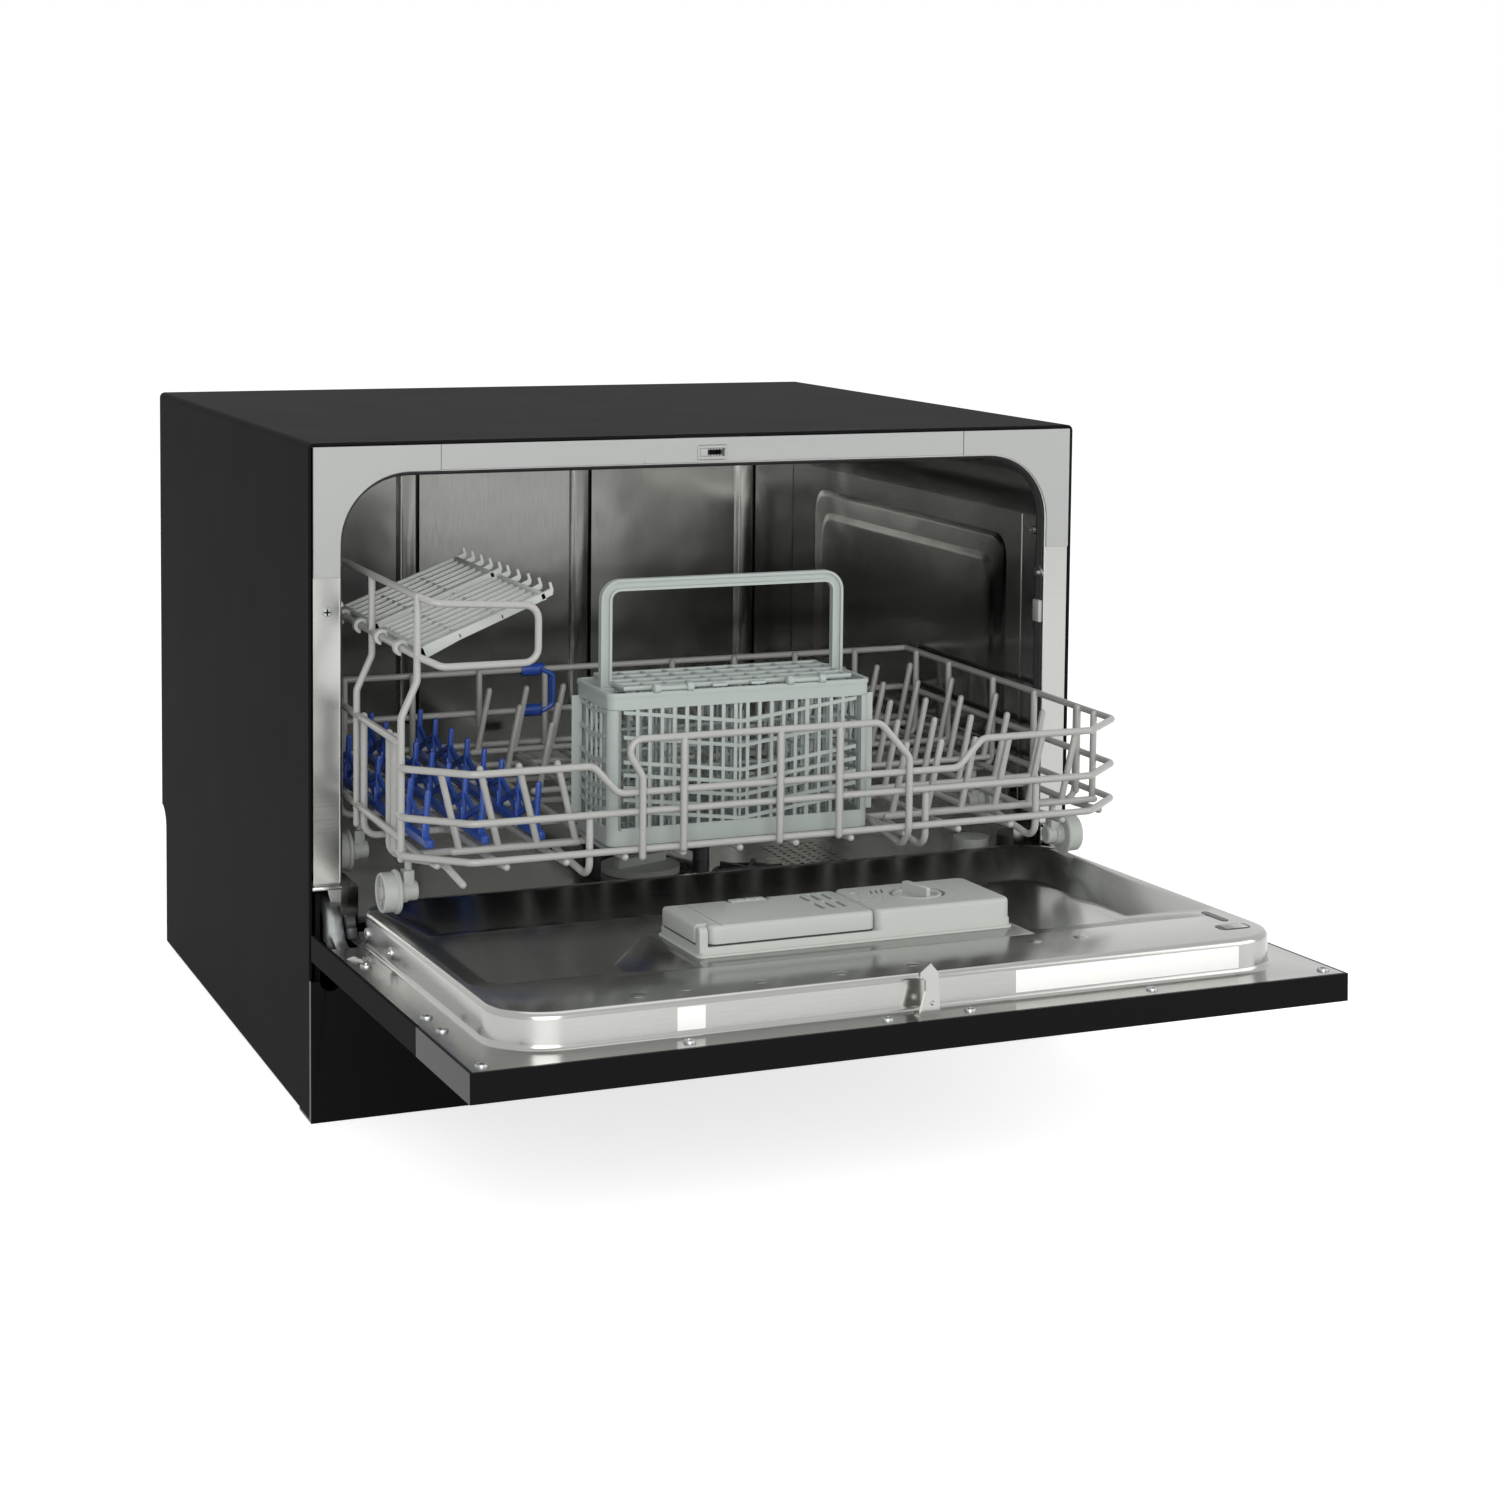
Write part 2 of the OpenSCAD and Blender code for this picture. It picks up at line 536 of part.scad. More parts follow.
module basket_floor() color("#a8a8a6") {
  for (x = [-228, -190, -152, -114, -76, -38, 0, 38, 76, 114, 152, 190, 228])
    wire([[x, abs(x) > bevel[0] ? rim_y + 18 : rim_y, floor_z], [x, back_y, floor_z]]);
  for (y = cross_y) wire([[3.2 - rim_x, y, 264], [3.2 - rim_x, y, floor_z + 4], [11 - rim_x, y, floor_z - 4],
    [rim_x - 11, y, floor_z - 4], [rim_x - 3.2, y, floor_z + 4], [rim_x - 3.2, y, top_z]]);
}
// A row of leaning tines on a base wire
module tine_row(x0, x1, step, y, lean, height) {
  wire([[x0, y, low_z], [x1, y, low_z]]);
  for (x = [x0 + 4:step:x1]) wire([[x, y + 0.4, low_z + 0.7], [x + lean, y + 0.4, low_z + height]], tine_r);
}
module plate_tines() color("#a8a8a6") {
  tine_row(78, 232, 25, -112, 10, 46);
  tine_row(-214, -134, 25, -112, -12, 50);
  for (y = [-30, 40, 110, 180]) tine_row(-112, 232, 28, y, 9, 44);
}
module glass_tines() color("#1f3fbf") for (x = [-222, -186, -150]) {
  wire([[x, -88, low_z + 1], [x, 186, low_z + 1]], 3);
  for (y = [-80:38:186]) wire([[x, y, low_z + 1], [x + 8, y, low_z + 46]], 2.6);
}
module wheel_holders() color("#a9aaa8") both() for (y = wheel_y) {
  rod_x(222.5, wheel_x[0] - gap, y, wheel_z, 6.5);
  rod_x(230, wheel_x[2] - 1, y, wheel_z, axle_r);
  rod_x(wheel_x[2] - 1.2, wheel_x[2] - 0.2, y, wheel_z, 3.6);
  rod_z(wheel_z, floor_z, [228, y], wire_r);
}
module wheel(s, y) color("#b0b1af") translate([0, y, wheel_z]) mirror([s < 0 ? 1 : 0, 0, 0]) difference() {
  union() {
    rod_x(wheel_x[0], wheel_x[1], 0, 0, flange_r);
    rod_x(wheel_x[1], wheel_x[2], 0, 0, wheel_r - 0.1);
  }
  difference() {
    rod_x(wheel_x[1] + 1.5, wheel_x[2] + 1, 0, 0, wheel_r - 2);
    rod_x(wheel_x[1], wheel_x[2] - 2.4, 0, 0, 4.6);
    for (a = [0:72:288]) rotate([a, 0, 0]) block([wheel_x[1], 3, -0.8], [wheel_x[2] - 1.5, wheel_r - 1, 0.8]);
  }
  rod_x(wheel_x[0] - 1, wheel_x[2] + 1, 0, 0, axle_r + 0.06);
}
module wheel_front_left() wheel(-1, wheel_y[0]);
module wheel_front_right() wheel(1, wheel_y[0]);
module wheel_rear_left() wheel(-1, wheel_y[1]);
module wheel_rear_right() wheel(1, wheel_y[1]);
module shelf_frame() color("#9c9c9a") {
  for (y = post_y) wire([[-rim_x, y, low_z - 3], [-rim_x, y, 280], [shelf_x, y, 302], [shelf_x, y, shelf_top]]);
  wire([[shelf_x, post_y[2], shelf_top], [shelf_x, post_y[0], shelf_top], [-226, loop_y, 350],
    [-161, loop_y, 346], [-161, loop_y, 311], [-222, loop_y, 311], [shelf_x, post_y[0], shelf_z]]);
}
module shelf_rail() color("#9c9c9a") rod_y(post_y[0] + 2.6, post_y[2] - 2.6, shelf_x, shelf_z, wire_r);
// A slatted cup shelf between y0 and y1, clipped round the rail
module cup_shelf(y0, y1) color("#a6a8a5") translate([shelf_x, 0, shelf_z]) rotate([0, -shelf_tilt, 0]) difference() {
  union() {
    block([4, y0, -2.5], [shelf_len, y1, 2.5]);
    for (y = [y0 + 8, y1 - 18]) {
      rod_y(y, y + 10, 0, 0, 4.8);
      block([0, y, 0], [6, y + 10, 2.5]);
    }
  }
  for (y = [y0 + 4:9:y1 - 8], x = [10, 54]) block([x, y, -3], [x + 38, y + 5, 3]);
  rod_y(y0 - 1, y1 + 1, 0, 0, wire_r + 0.06);
}
module cup_shelf_front() cup_shelf(-99, -9);
module cup_shelf_rear() cup_shelf(5, 88);

// ---------- cutlery basket ----------
// A grille between x0 and x1: upright bars, and ribs that dip in the middle
module grille(x0, x1, z0, z1, ribs, dip) {
  mid = (x0 + x1) / 2;
  difference() {
    translate([x0, z0]) square([x1 - x0, z1 - z0]);
    translate([x0 + 8, z0 + 10]) square([x1 - x0 - 16, z1 - z0 - 20]);
  }
  for (x = [x0 + 14:10:x1 - 9]) translate([x, z0 + 5]) square([2.2, z1 - z0 - 10]);
  for (z = ribs)
    polygon([[x0 + 5, z], [mid, z - dip], [x1 - 5, z], [x1 - 5, z + 2], [mid, z + 2 - dip], [x0 + 5, z + 2]]);
}
module cutlery_basket() color("#93a09a") difference() {
  union() {
    for (y = [cut[1], cut[3] - cut_wall])
      along_y(y, y + cut_wall) grille(cut[0], cut[2], cut_z[0], cut_z[1], [cut_z[0] + 26:15:cut_z[1] - 12], 7);
    for (x = [cut[0], cut[2] - cut_wall])
      along_x(x, x + cut_wall) grille(cut[1], cut[3], cut_z[0], cut_z[1], [cut_z[0] + 26:15:cut_z[1] - 12], 3);
    for (x = [-76, -31, 14]) block([x, cut[1] + 1, cut_z[0]], [x + 1.6, cut[3] - 1, cut_z[1] - 4]);
    block([cut[0] + 1, -94, cut_z[0]], [cut[2] - 1, -92.4, cut_z[1] - 4]);
    along_z(cut_z[0], cut_z[0] + cut_wall) difference() {
      plate(cut, 2);
      for (x = [cut[0] + 8:12:cut[2] - 8], y = [cut[1] + 8:13:cut[3] - 10]) translate([x, y]) square(7);
    }
    for (x = [cut[0] + 5, cut[2] - 9]) block([x, -95, cut_z[1] - 8], [x + 4, -90, 354]);
    block([cut[0] + 5, -95, 350], [cut[2] - 5, -90, 356.5]);
    for (x = clip_x, e = [-13, 9]) rod_x(x + e, x + e + 4, cut_axis[0], cut_axis[1], 3);
  }
  for (x = clip_x) rod_x(x - 14, x + 14, cut_axis[0], cut_axis[1], 1.66);
}
module cutlery_lid() color("#93a09a") {
  lid_z = cut_z[1] + 0.4;
  along_z(lid_z, lid_z + 2.8) difference() {
    translate([cut[0] + 11, cut[1] + 5]) square([cut[2] - cut[0] - 22, cut[3] - cut[1] - 7]);
    for (x = [cut[0] + 14:15.2:cut[2] - 24], y = [cut[1] + 8, cut[1] + 21, cut[3] - 28, cut[3] - 15])
      translate([x, y]) square([12, 10]);
  }
  for (x = clip_x) {
    rod_x(x - 13.5, x + 13.5, cut_axis[0], cut_axis[1], 1.6);
    block([x - 8.5, cut_axis[0] - 1, lid_z], [x + 8.5, cut[1] + 6, lid_z + 2.4]);
  }
}

outer_casing();
rear_panel();
plinth_panel();
base_tray();
feet();
front_trim();
corner_caps();
tub_wrap();
front_frame();
tub_back();
tub_floor();
door_gasket();
hinge_brackets();
door_springs();
sump();
filter_plate();
spray_riser();
softener_tank();
wash_pump();
drain_pump();
water_heater();
inlet_valve();
air_break();
latch_catch();
casing_screws();
filter_cup();
spray_arm();
salt_cap();
float_dome();
door_panel();
control_panel();
display_window();
control_board();
door_liner();
hinge_arms();
liner_screws();
latch_hook();
dispenser_body();
power_button();
program_button();
start_button();
detergent_lid();
rinse_aid_knob();
basket_front();
basket_sides();
basket_back();
basket_floor();
plate_tines();
glass_tines();
wheel_holders();
wheel_front_left();
wheel_front_right();
wheel_rear_left();
wheel_rear_right();
shelf_frame();
shelf_rail();
cup_shelf_front();
cup_shelf_rear();
cutlery_basket();
cutlery_lid();
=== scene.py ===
"""A countertop dishwasher, its door open and its basket drawn out, over its solid model."""

import json
import math

import bmesh
import bpy
from mathutils import Matrix, Vector


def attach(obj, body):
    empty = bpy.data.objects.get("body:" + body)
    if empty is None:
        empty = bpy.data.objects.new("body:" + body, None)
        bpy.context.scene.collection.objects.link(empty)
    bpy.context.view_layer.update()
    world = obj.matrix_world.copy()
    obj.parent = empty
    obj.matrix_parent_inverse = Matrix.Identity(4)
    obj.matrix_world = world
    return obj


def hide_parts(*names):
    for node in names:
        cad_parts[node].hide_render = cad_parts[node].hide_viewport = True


bl_info = {
    "name": "Countertop Dishwasher",
    "version": (1, 0, 0),
    "blender": (4, 5, 0),
    "location": "View3D > Sidebar > Dishwasher",
    "description": "Builds the visible pieces, finishes and studio of a countertop dishwasher",
    "category": "Object",
}

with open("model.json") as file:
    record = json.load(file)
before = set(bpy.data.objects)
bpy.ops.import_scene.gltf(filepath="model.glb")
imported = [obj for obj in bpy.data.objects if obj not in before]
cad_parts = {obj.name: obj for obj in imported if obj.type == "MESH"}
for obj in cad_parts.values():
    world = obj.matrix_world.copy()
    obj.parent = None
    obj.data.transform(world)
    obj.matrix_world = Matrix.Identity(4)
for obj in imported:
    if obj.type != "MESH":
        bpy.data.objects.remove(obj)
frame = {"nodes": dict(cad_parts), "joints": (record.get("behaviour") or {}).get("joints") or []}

MM = 0.001
JOINTS = {joint["name"]: joint for joint in frame["joints"]}

# The open door lies a little above level. Its pieces are drawn level, in millimetres, and this
# tips them up.
DOOR_PIVOT = Vector(JOINTS["door_hinge"]["pos_m"]) / MM
DOOR_UP = Vector(JOINTS["rinse_aid_knob_turn"]["axis"])
DOOR_TILT = math.atan2(DOOR_UP.y, DOOR_UP.z)
ON_DOOR = (
    Matrix.Translation(DOOR_PIVOT)
    @ Matrix.Rotation(-DOOR_TILT, 4, "X")
    @ Matrix.Translation(-DOOR_PIVOT)
)


def span(node, door=False):
    """The lowest and highest corners of a solid in millimetres, with the door laid level."""
    level = ON_DOOR.inverted() if door else Matrix.Identity(4)
    corners = [level @ (vertex.co / MM) for vertex in frame["nodes"][node].data.vertices]
    return Vector(map(min, zip(*corners))), Vector(map(max, zip(*corners)))


# ---------- sizes and colours ----------


def linear(code):
    """A colour such as #C8C8C6 as linear red, green and blue."""
    parts = [int(code[i : i + 2], 16) / 255 for i in (1, 3, 5)]
    return [p / 12.92 if p <= 0.04045 else ((p + 0.055) / 1.055) ** 2.4 for p in parts]


def colour_property(name, code, description):
    """A colour that the user can change."""
    return bpy.props.FloatVectorProperty(
        name=name, description=description, subtype="COLOR", min=0, max=1, default=linear(code)
    )


def length_property(name, millimetres, description):
    """A length that the user can change, kept in metres."""
    return bpy.props.FloatProperty(
        name=name, description=description, unit="LENGTH", min=0, default=millimetres * MM
    )


class DishwasherSizes(bpy.types.PropertyGroup):
    """Sizes of the details that the solid model leaves plain."""

    wire: length_property("Wire radius", 2.3, "Radius of the basket's coated wire")
    tine: length_property("Tine radius", 2.2, "Radius of an upright tine")
    bend: length_property("Bend radius", 9, "Radius at the middle of a bent wire")
    sheet_fold: length_property("Sheet fold", 0.5, "Radius of a folded sheet's edge")
    moulded_edge: length_property("Moulded edge", 0.4, "Radius of a moulded plastic edge")
    rim_fold: length_property("Rim fold", 4, "Radius of the liner's pressed rim")


class DishwasherColours(bpy.types.PropertyGroup):
    """Colours of the paints, plastics and metals."""

    paint: colour_property("Paint", "#19191A", "Powder coat of the casing and the door")
    gloss: colour_property("Gloss black", "#0D0D0E", "Polished plinth and control panel")
    stainless: colour_property("Stainless steel", "#A8A8A5", "Front frame and door liner")
    # The tub steel is the liner's stainless steel, painted darker as painted shade.
    tub: colour_property("Tub steel", "#858582", "Tub, in its own shade")
    zinc: colour_property("Zinc", "#A4A7A7", "Hinges, springs and screws")
    wire: colour_property("Wire coat", "#A6A6A3", "Nylon coat of the basket")
    grey: colour_property("Grey plastic", "#B1B5B0", "Dispenser, wheels and cup shelves")
    trim: colour_property("Trim grey", "#A9ABA9", "Trim and caps of the front frame")
    cutlery: colour_property("Grey-green plastic", "#A5ADA9", "Cutlery basket")
    blue: colour_property("Blue plastic", "#2E50A4", "Glass tines")
    rubber: colour_property("Rubber", "#2E2F30", "Door seal and feet")


# ---------- materials ----------


def node(tree, kind, inputs=None, **settings):
    """Adds a node, sets its properties, and sets or links its inputs."""
    made = tree.nodes.new(kind)
    for key, value in settings.items():
        setattr(made, key, value)
    for key, value in (inputs or {}).items():
        if isinstance(value, bpy.types.NodeSocket):
            tree.links.new(value, made.inputs[key])
        else:
            made.inputs[key].default_value = value
    return made


def grain(millimetres):
    """Noise scale that gives features of this size, in a model drawn in metres."""
    return 1 / (millimetres * MM)


def finish(name, colour, roughness, **shader):
    """Makes a material: gives it, its node tree, its shader and the object coordinates."""
    material = bpy.data.materials.new(name)
    material.use_nodes = True
    tree = material.node_tree
    principled = tree.nodes["Principled BSDF"]
    principled.inputs["Base Color"].default_value = (*colour, 1)
    principled.inputs["Roughness"].default_value = roughness
    for key, value in shader.items():
        principled.inputs[key.replace("_", " ")].default_value = value
    place = node(tree, "ShaderNodeTexCoord").outputs["Object"]
    return material, tree, principled, place


def mottle(tree, principled, place, size, low, high, detail=3.0):
    """Lets the roughness wander between two values over patches of a size in millimetres."""
    noise = node(
        tree, "ShaderNodeTexNoise", {"Vector": place, "Scale": grain(size), "Detail": detail}
    )
    spread = node(
        tree, "ShaderNodeMapRange", {"Value": noise.outputs["Fac"], "To Min": low, "To Max": high}
    )
    tree.links.new(spread.outputs["Result"], principled.inputs["Roughness"])


def lumps(tree, principled, place, size, depth, detail=2.0):
    """Raises the surface in lumps of a size, over a depth, both in millimetres."""
    noise = node(
        tree, "ShaderNodeTexNoise", {"Vector": place, "Scale": grain(size), "Detail": detail}
    )
    bump = node(
        tree, "ShaderNodeBump", {"Height": noise.outputs["Fac"], "Distance": depth * MM}
    )
    tree.links.new(bump.outputs["Normal"], principled.inputs["Normal"])


def powder_coated_steel(colours):
    """Black polyester powder baked on steel: a satin skin with a fine orange peel."""
    material, tree, principled, place = finish(
        "powder_coated_steel", colours.paint, 0.55, Specular_IOR_Level=0.01
    )
    mottle(tree, principled, place, 60, 0.53, 0.58)
    # Orange peel of baked powder is about 1.5 mm across and a few hundredths deep.
    lumps(tree, principled, place, 1.5, 0.03, detail=1.0)
    return material


def polished_abs(colours):
    """Black ABS from a polished mould: a deep gloss with faint wiping marks."""
    material, tree, principled, place = finish(
        "polished_abs", colours.gloss, 0.12, Specular_IOR_Level=0.06
    )
    mottle(tree, principled, place, 35, 0.09, 0.17, detail=6.0)
    return material


def tinted_acrylic(colours):
    """Black acrylic window: glass-smooth, and almost black behind."""
    return finish("tinted_acrylic", linear("#060608"), 0.04, IOR=1.49)[0]


BRUSH_STRETCH = 18  # how many times longer than wide a brush line is drawn


def brushed(name, colour, roughness, spread, along=(1, BRUSH_STRETCH, BRUSH_STRETCH), wave=0.15):
    """Rolled or brushed metal: its lines run along X and break up the reflections a little."""
    material, tree, principled, place = finish(name, colour, roughness, Metallic=1.0)
    stretched = node(tree, "ShaderNodeMapping", {"Vector": place, "Scale": along})
    # Brush lines are 0.1 mm apart on the real sheet, and are drawn 0.9 mm apart so that they show.
    size, along_lines = 0.9 * BRUSH_STRETCH, stretched.outputs["Vector"]
    mottle(tree, principled, along_lines, size, roughness - spread, roughness + spread, 6.0)
    # Pressing leaves the sheet wavy, over about 45 mm.
    lumps(tree, principled, place, 45, wave, detail=1.0)
    return material


def stainless_steel(colours):
    """Pressed ferritic stainless sheet with its mill finish: blurred, bright reflections."""
    return brushed("stainless_steel", colours.stainless, 0.2, 0.06)


def tub_steel_painted_shade(colours):
    """Deep-drawn stainless sheet, wavier than the liner; its darker colour is painted shade, for
    the shade that the tub mirrors.
    """
    return brushed("deep_drawn_steel_painted_shade", colours.tub, 0.17, 0.07, along=(14, 14, 1), wave=0.6)


def zinc_plated_steel(colours):
    """Steel with a passivated zinc coat: duller than stainless, with a faint spangle."""
    material, tree, principled, place = finish(
        "zinc_plated_steel", colours.zinc, 0.34, Metallic=1.0
    )
    mottle(tree, principled, place, 3, 0.26, 0.44)
    spangle = node(tree, "ShaderNodeTexVoronoi", {"Vector": place, "Scale": grain(3)})
    height = spangle.outputs["Distance"]
    bump = node(tree, "ShaderNodeBump", {"Height": height, "Distance": 0.04 * MM})
    tree.links.new(bump.outputs["Normal"], principled.inputs["Normal"])
    return material


def nylon_coat(colours):
    """Nylon sintered on wire: soft, slightly glossy and a little lumpy."""
    material, tree, principled, place = finish("nylon_coat", colours.wire, 0.3, IOR=1.53)
    mottle(tree, principled, place, 6, 0.24, 0.36)
    lumps(tree, principled, place, 2.5, 0.08)
    return material


def polypropylene(name, colour, low=0.34, high=0.46):
    """Moulded polypropylene: a waxy satin with the fine texture of a spark-eroded mould."""
    material, tree, principled, place = finish(name, colour, 0.4, IOR=1.49)
    mottle(tree, principled, place, 12, low, high)
    # Spark erosion leaves pits of about 0.3 mm, drawn at 0.7 mm so that they show.
    lumps(tree, principled, place, 0.7, 0.02)
    return material


def epdm_rubber(colours):
    """Extruded EPDM rubber: matt and dark, with a soft sheen."""
    material, tree, principled, place = finish("epdm_rubber", colours.rubber, 0.62, IOR=1.5)
    mottle(tree, principled, place, 8, 0.55, 0.72)
    return material


def circuit_board(colours):
    """Glass-fibre board with green solder resist: smooth and half glossy."""
    material, tree, principled, place = finish("circuit_board", linear("#12602A"), 0.3, IOR=1.52)
    mottle(tree, principled, place, 4, 0.25, 0.38)
    return material


def paper_label(colours):
    """Blank white polyester label: smooth, with a satin top coat."""
    material, tree, principled, place = finish("polyester_label", linear("#F2F2EF"), 0.35, IOR=1.5)
    mottle(tree, principled, place, 20, 0.32, 0.4)
    return material


MATERIALS = {}


def make_materials():
    """Makes each material once, from the colours that are set."""
    colours = bpy.context.scene.dishwasher_colours
    MATERIALS.update(
        paint=powder_coated_steel(colours),
        gloss=polished_abs(colours),
        window=tinted_acrylic(colours),
        stainless=stainless_steel(colours),
        tub=tub_steel_painted_shade(colours),
        # The tub's darker steel colour is painted shade.
        zinc=zinc_plated_steel(colours),
        wire=nylon_coat(colours),
        grey=polypropylene("grey_polypropylene", colours.grey),
        trim=polypropylene("trim_polypropylene", colours.trim, 0.4, 0.5),
        cutlery=polypropylene("cutlery_polypropylene", colours.cutlery),
        blue=polypropylene("blue_polypropylene", colours.blue, 0.28, 0.36),
        dark=polypropylene("dark_polypropylene", linear("#3A3B3D")),
        white=polypropylene("white_polypropylene", linear("#DEDEDA")),
        rubber=epdm_rubber(colours),
        board=circuit_board(colours),
        label=paper_label(colours),
    )


# ---------- meshes, drawn in millimetres ----------

WELD = 0.002  # corners closer than this are one corner
SHARP = 32  # edges that turn by more degrees than this stay crisp
BEND_STEPS = 5  # in a bent wire
EDGE_STEPS = 3  # in a rounded edge


def settle(mesh, door):
    """Takes a mesh drawn in millimetres to its place in metres, and cleans it."""
    if door:
        mesh.transform(ON_DOOR)
    mesh.transform(Matrix.Scale(MM, 4))
    bmesh.ops.remove_doubles(mesh, verts=mesh.verts, dist=WELD * MM)
    bmesh.ops.recalc_face_normals(mesh, faces=mesh.faces)


def mark_sharp(mesh, sharp):
    """Keeps the shading of a mesh crisp at edges that turn by more than an angle in degrees."""
    for edge in mesh.edges:
        edge.smooth = edge.is_manifold and edge.calc_face_angle() < math.radians(sharp)


def piece(name, mesh, material, body, nodes=(), door=False, sharp=SHARP):
    """Makes a mesh an object that rides on a body, and that stands for the solids it names."""
    settle(mesh, door)
    for face in mesh.faces:
        face.smooth = True
    mark_sharp(mesh, sharp)
    data = bpy.data.meshes.new(name)
    mesh.to_mesh(data)
    mesh.free()
    data.materials.append(MATERIALS[material])
    made = bpy.data.objects.new(name, data)
    bpy.context.scene.collection.objects.link(made)
    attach(made, body)
    if nodes:
        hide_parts(*nodes)
    return made


def dress(material, *nodes, edge=0.0):
    """Gives solids a finish and, where edge is set, rounds their edges by that many metres."""
    for name in nodes:
        solid = frame["nodes"][name]
        solid.data.materials.clear()
        solid.data.materials.append(MATERIALS[material])
        if edge:
            for face in solid.data.polygons:
                face.use_smooth = False
            weld = solid.modifiers.new("weld", "WELD")
            weld.merge_threshold = 5 * WELD * MM
            bevel = solid.modifiers.new("edges", "BEVEL")
            bevel.width = edge
            bevel.segments = 2
            bevel.limit_method = "ANGLE"
            bevel.angle_limit = math.radians(SHARP)
            bevel.harden_normals = True


def merge(mesh, part, place=Matrix.Identity(4)):
    """Moves a part's faces into a mesh, at a place."""
    part.transform(place)
    data = bpy.data.meshes.new("part")
    part.to_mesh(data)
    part.free()
    mesh.from_mesh(data)
    bpy.data.meshes.remove(data)


def carve(made, mesh):
    """Cuts a shape out of a finished piece of the door. The shape is drawn in millimetres."""
    settle(mesh, door=True)
    data = bpy.data.meshes.new("cutter")
    mesh.to_mesh(data)
    mesh.free()
    cutter = bpy.data.objects.new("cutter", data)
    bpy.context.scene.collection.objects.link(cutter)
    cut = made.modifiers.new("cut", "BOOLEAN")
    cut.object = cutter
    cut.solver = "EXACT"
    cut.use_self = True
    ready = made.evaluated_get(bpy.context.evaluated_depsgraph_get())
    carved = bmesh.new()
    carved.from_mesh(bpy.data.meshes.new_from_object(ready))
    made.modifiers.clear()
    mark_sharp(carved, SHARP)
    carved.to_mesh(made.data)
    carved.free()
    bpy.data.objects.remove(cutter)


def loft(mesh, rings, first=True, last=True):
    """Skins rings of equally many points, and closes the first and the last ring where asked."""
    rows = [[mesh.verts.new(point) for point in ring] for ring in rings]
    for low, high in zip(rows, rows[1:]):
        for i in range(len(low)):
            j = (i + 1) % len(low)
            mesh.faces.new((low[i], low[j], high[j], high[i]))
    if first:
        mesh.faces.new(rows[0][::-1])
    if last:
        mesh.faces.new(rows[-1])
    return rows


def rounded_corners(points, radius):
    """Replaces each inner corner of an open line by an arc of the radius."""
    line = [points[0]]
    for before, corner, after in zip(points, points[1:], points[2:]):
        back, on = (before - corner), (after - corner)
        half = back.angle(on) / 2
        if math.pi / 2 - half < 0.01:
            line.append(corner)
            continue
        reach = min(radius / math.tan(half), 0.49 * back.length, 0.49 * on.length)
        start, end = corner + back.normalized() * reach, corner + on.normalized() * reach
        inwards = (back.normalized() + on.normalized()).normalized()
        middle = corner + inwards * reach / math.cos(half)
        turn_radius = (start - middle).length
        for k in range(BEND_STEPS + 1):
            way = (start - middle).slerp(end - middle, k / BEND_STEPS)
            line.append(middle + way * turn_radius)
    line.append(points[-1])
    return line


def sweep(mesh, points, radius, bend=0.0, sides=10):
    """A round bar along bent points, with domed ends."""
    line = [Vector(p) for p in points]
    if bend:
        line = rounded_corners(line, bend)
    ways = [(b - a).normalized() for a, b in zip(line, line[1:])]
    first, last = ways[0], ways[-1]
    ways = [first] + [(a + b).normalized() for a, b in zip(ways, ways[1:])] + [last]
    dome = [math.radians(a) for a in (15, 45, 75)]
    stations = [(line[0] - first * radius * math.cos(a), first, math.sin(a)) for a in dome]
    stations += [(point, way, 1) for point, way in zip(line, ways)]
    stations += [(line[-1] + last * radius * math.cos(a), last, math.sin(a)) for a in dome[::-1]]
    across = first.orthogonal().normalized()
    turns = [2 * math.pi * k / sides for k in range(sides)]
    rings = []
    for middle, way, share in stations:
        across = (across - way * across.dot(way)).normalized()
        up = way.cross(across)
        spokes = [across * math.cos(a) + up * math.sin(a) for a in turns]
        rings.append([middle + spoke * radius * share for spoke in spokes])
    loft(mesh, rings)


def ring_outline(low_x, low_y, high_x, high_y, radius, steps=6):
    """A rectangle with rounded corners, anticlockwise from its corner at high x and low y."""
    points = []
    corners = ((high_x, low_y, -90), (high_x, high_y, 0), (low_x, high_y, 90), (low_x, low_y, 180))
    for x, y, start in corners:
        cx = x - radius if x == high_x else x + radius
        cy = y - radius if y == high_y else y + radius
        for k in range(steps + 1):
            a = math.radians(start + 90 * k / steps)
            points.append((cx + radius * math.cos(a), cy + radius * math.sin(a)))
    return points


def inset(outline, distance):
    """Moves a closed anticlockwise outline inwards by a distance."""
    moved = []
    for before, at, after in zip(outline[-1:] + outline, outline, outline[1:] + outline[:1]):
        a = (Vector(at) - Vector(before)).normalized()
        b = (Vector(after) - Vector(at)).normalized()
        inwards = Vector((-a.y - b.y, a.x + b.x)).normalized()
        lean = max(0.3, inwards.dot(Vector((-a.y, a.x))))
        moved.append(tuple(Vector(at) + inwards * distance / lean))
    return moved


AXES = {
    "X": Matrix(((0, 0, 1, 0), (1, 0, 0, 0), (0, 1, 0, 0), (0, 0, 0, 1))),
    "Y": Matrix(((1, 0, 0, 0), (0, 0, 1, 0), (0, 1, 0, 0), (0, 0, 0, 1))),
    "Z": Matrix.Identity(4),
}


def slab(mesh, outline, low, high, edge=0.0, axis="Z", low_edge=None):
    """A prism along an axis with rounded edges. The outline is in the two other axes."""
    low_edge = edge if low_edge is None else low_edge
    rings = []
    for height, radius, way in ((low, low_edge, 1), (high, edge, -1)):
        steps = range(EDGE_STEPS + 1) if radius else [0]
        turns = [math.pi / 2 * k / EDGE_STEPS for k in steps]
        if way < 0:
            turns = turns[::-1]
        for a in turns:
            shift = radius * (1 - math.sin(a))
            level = height + way * radius * (1 - math.cos(a))
            rings.append([AXES[axis] @ Vector((*p, level)) for p in inset(outline, shift)])
    loft(mesh, rings)


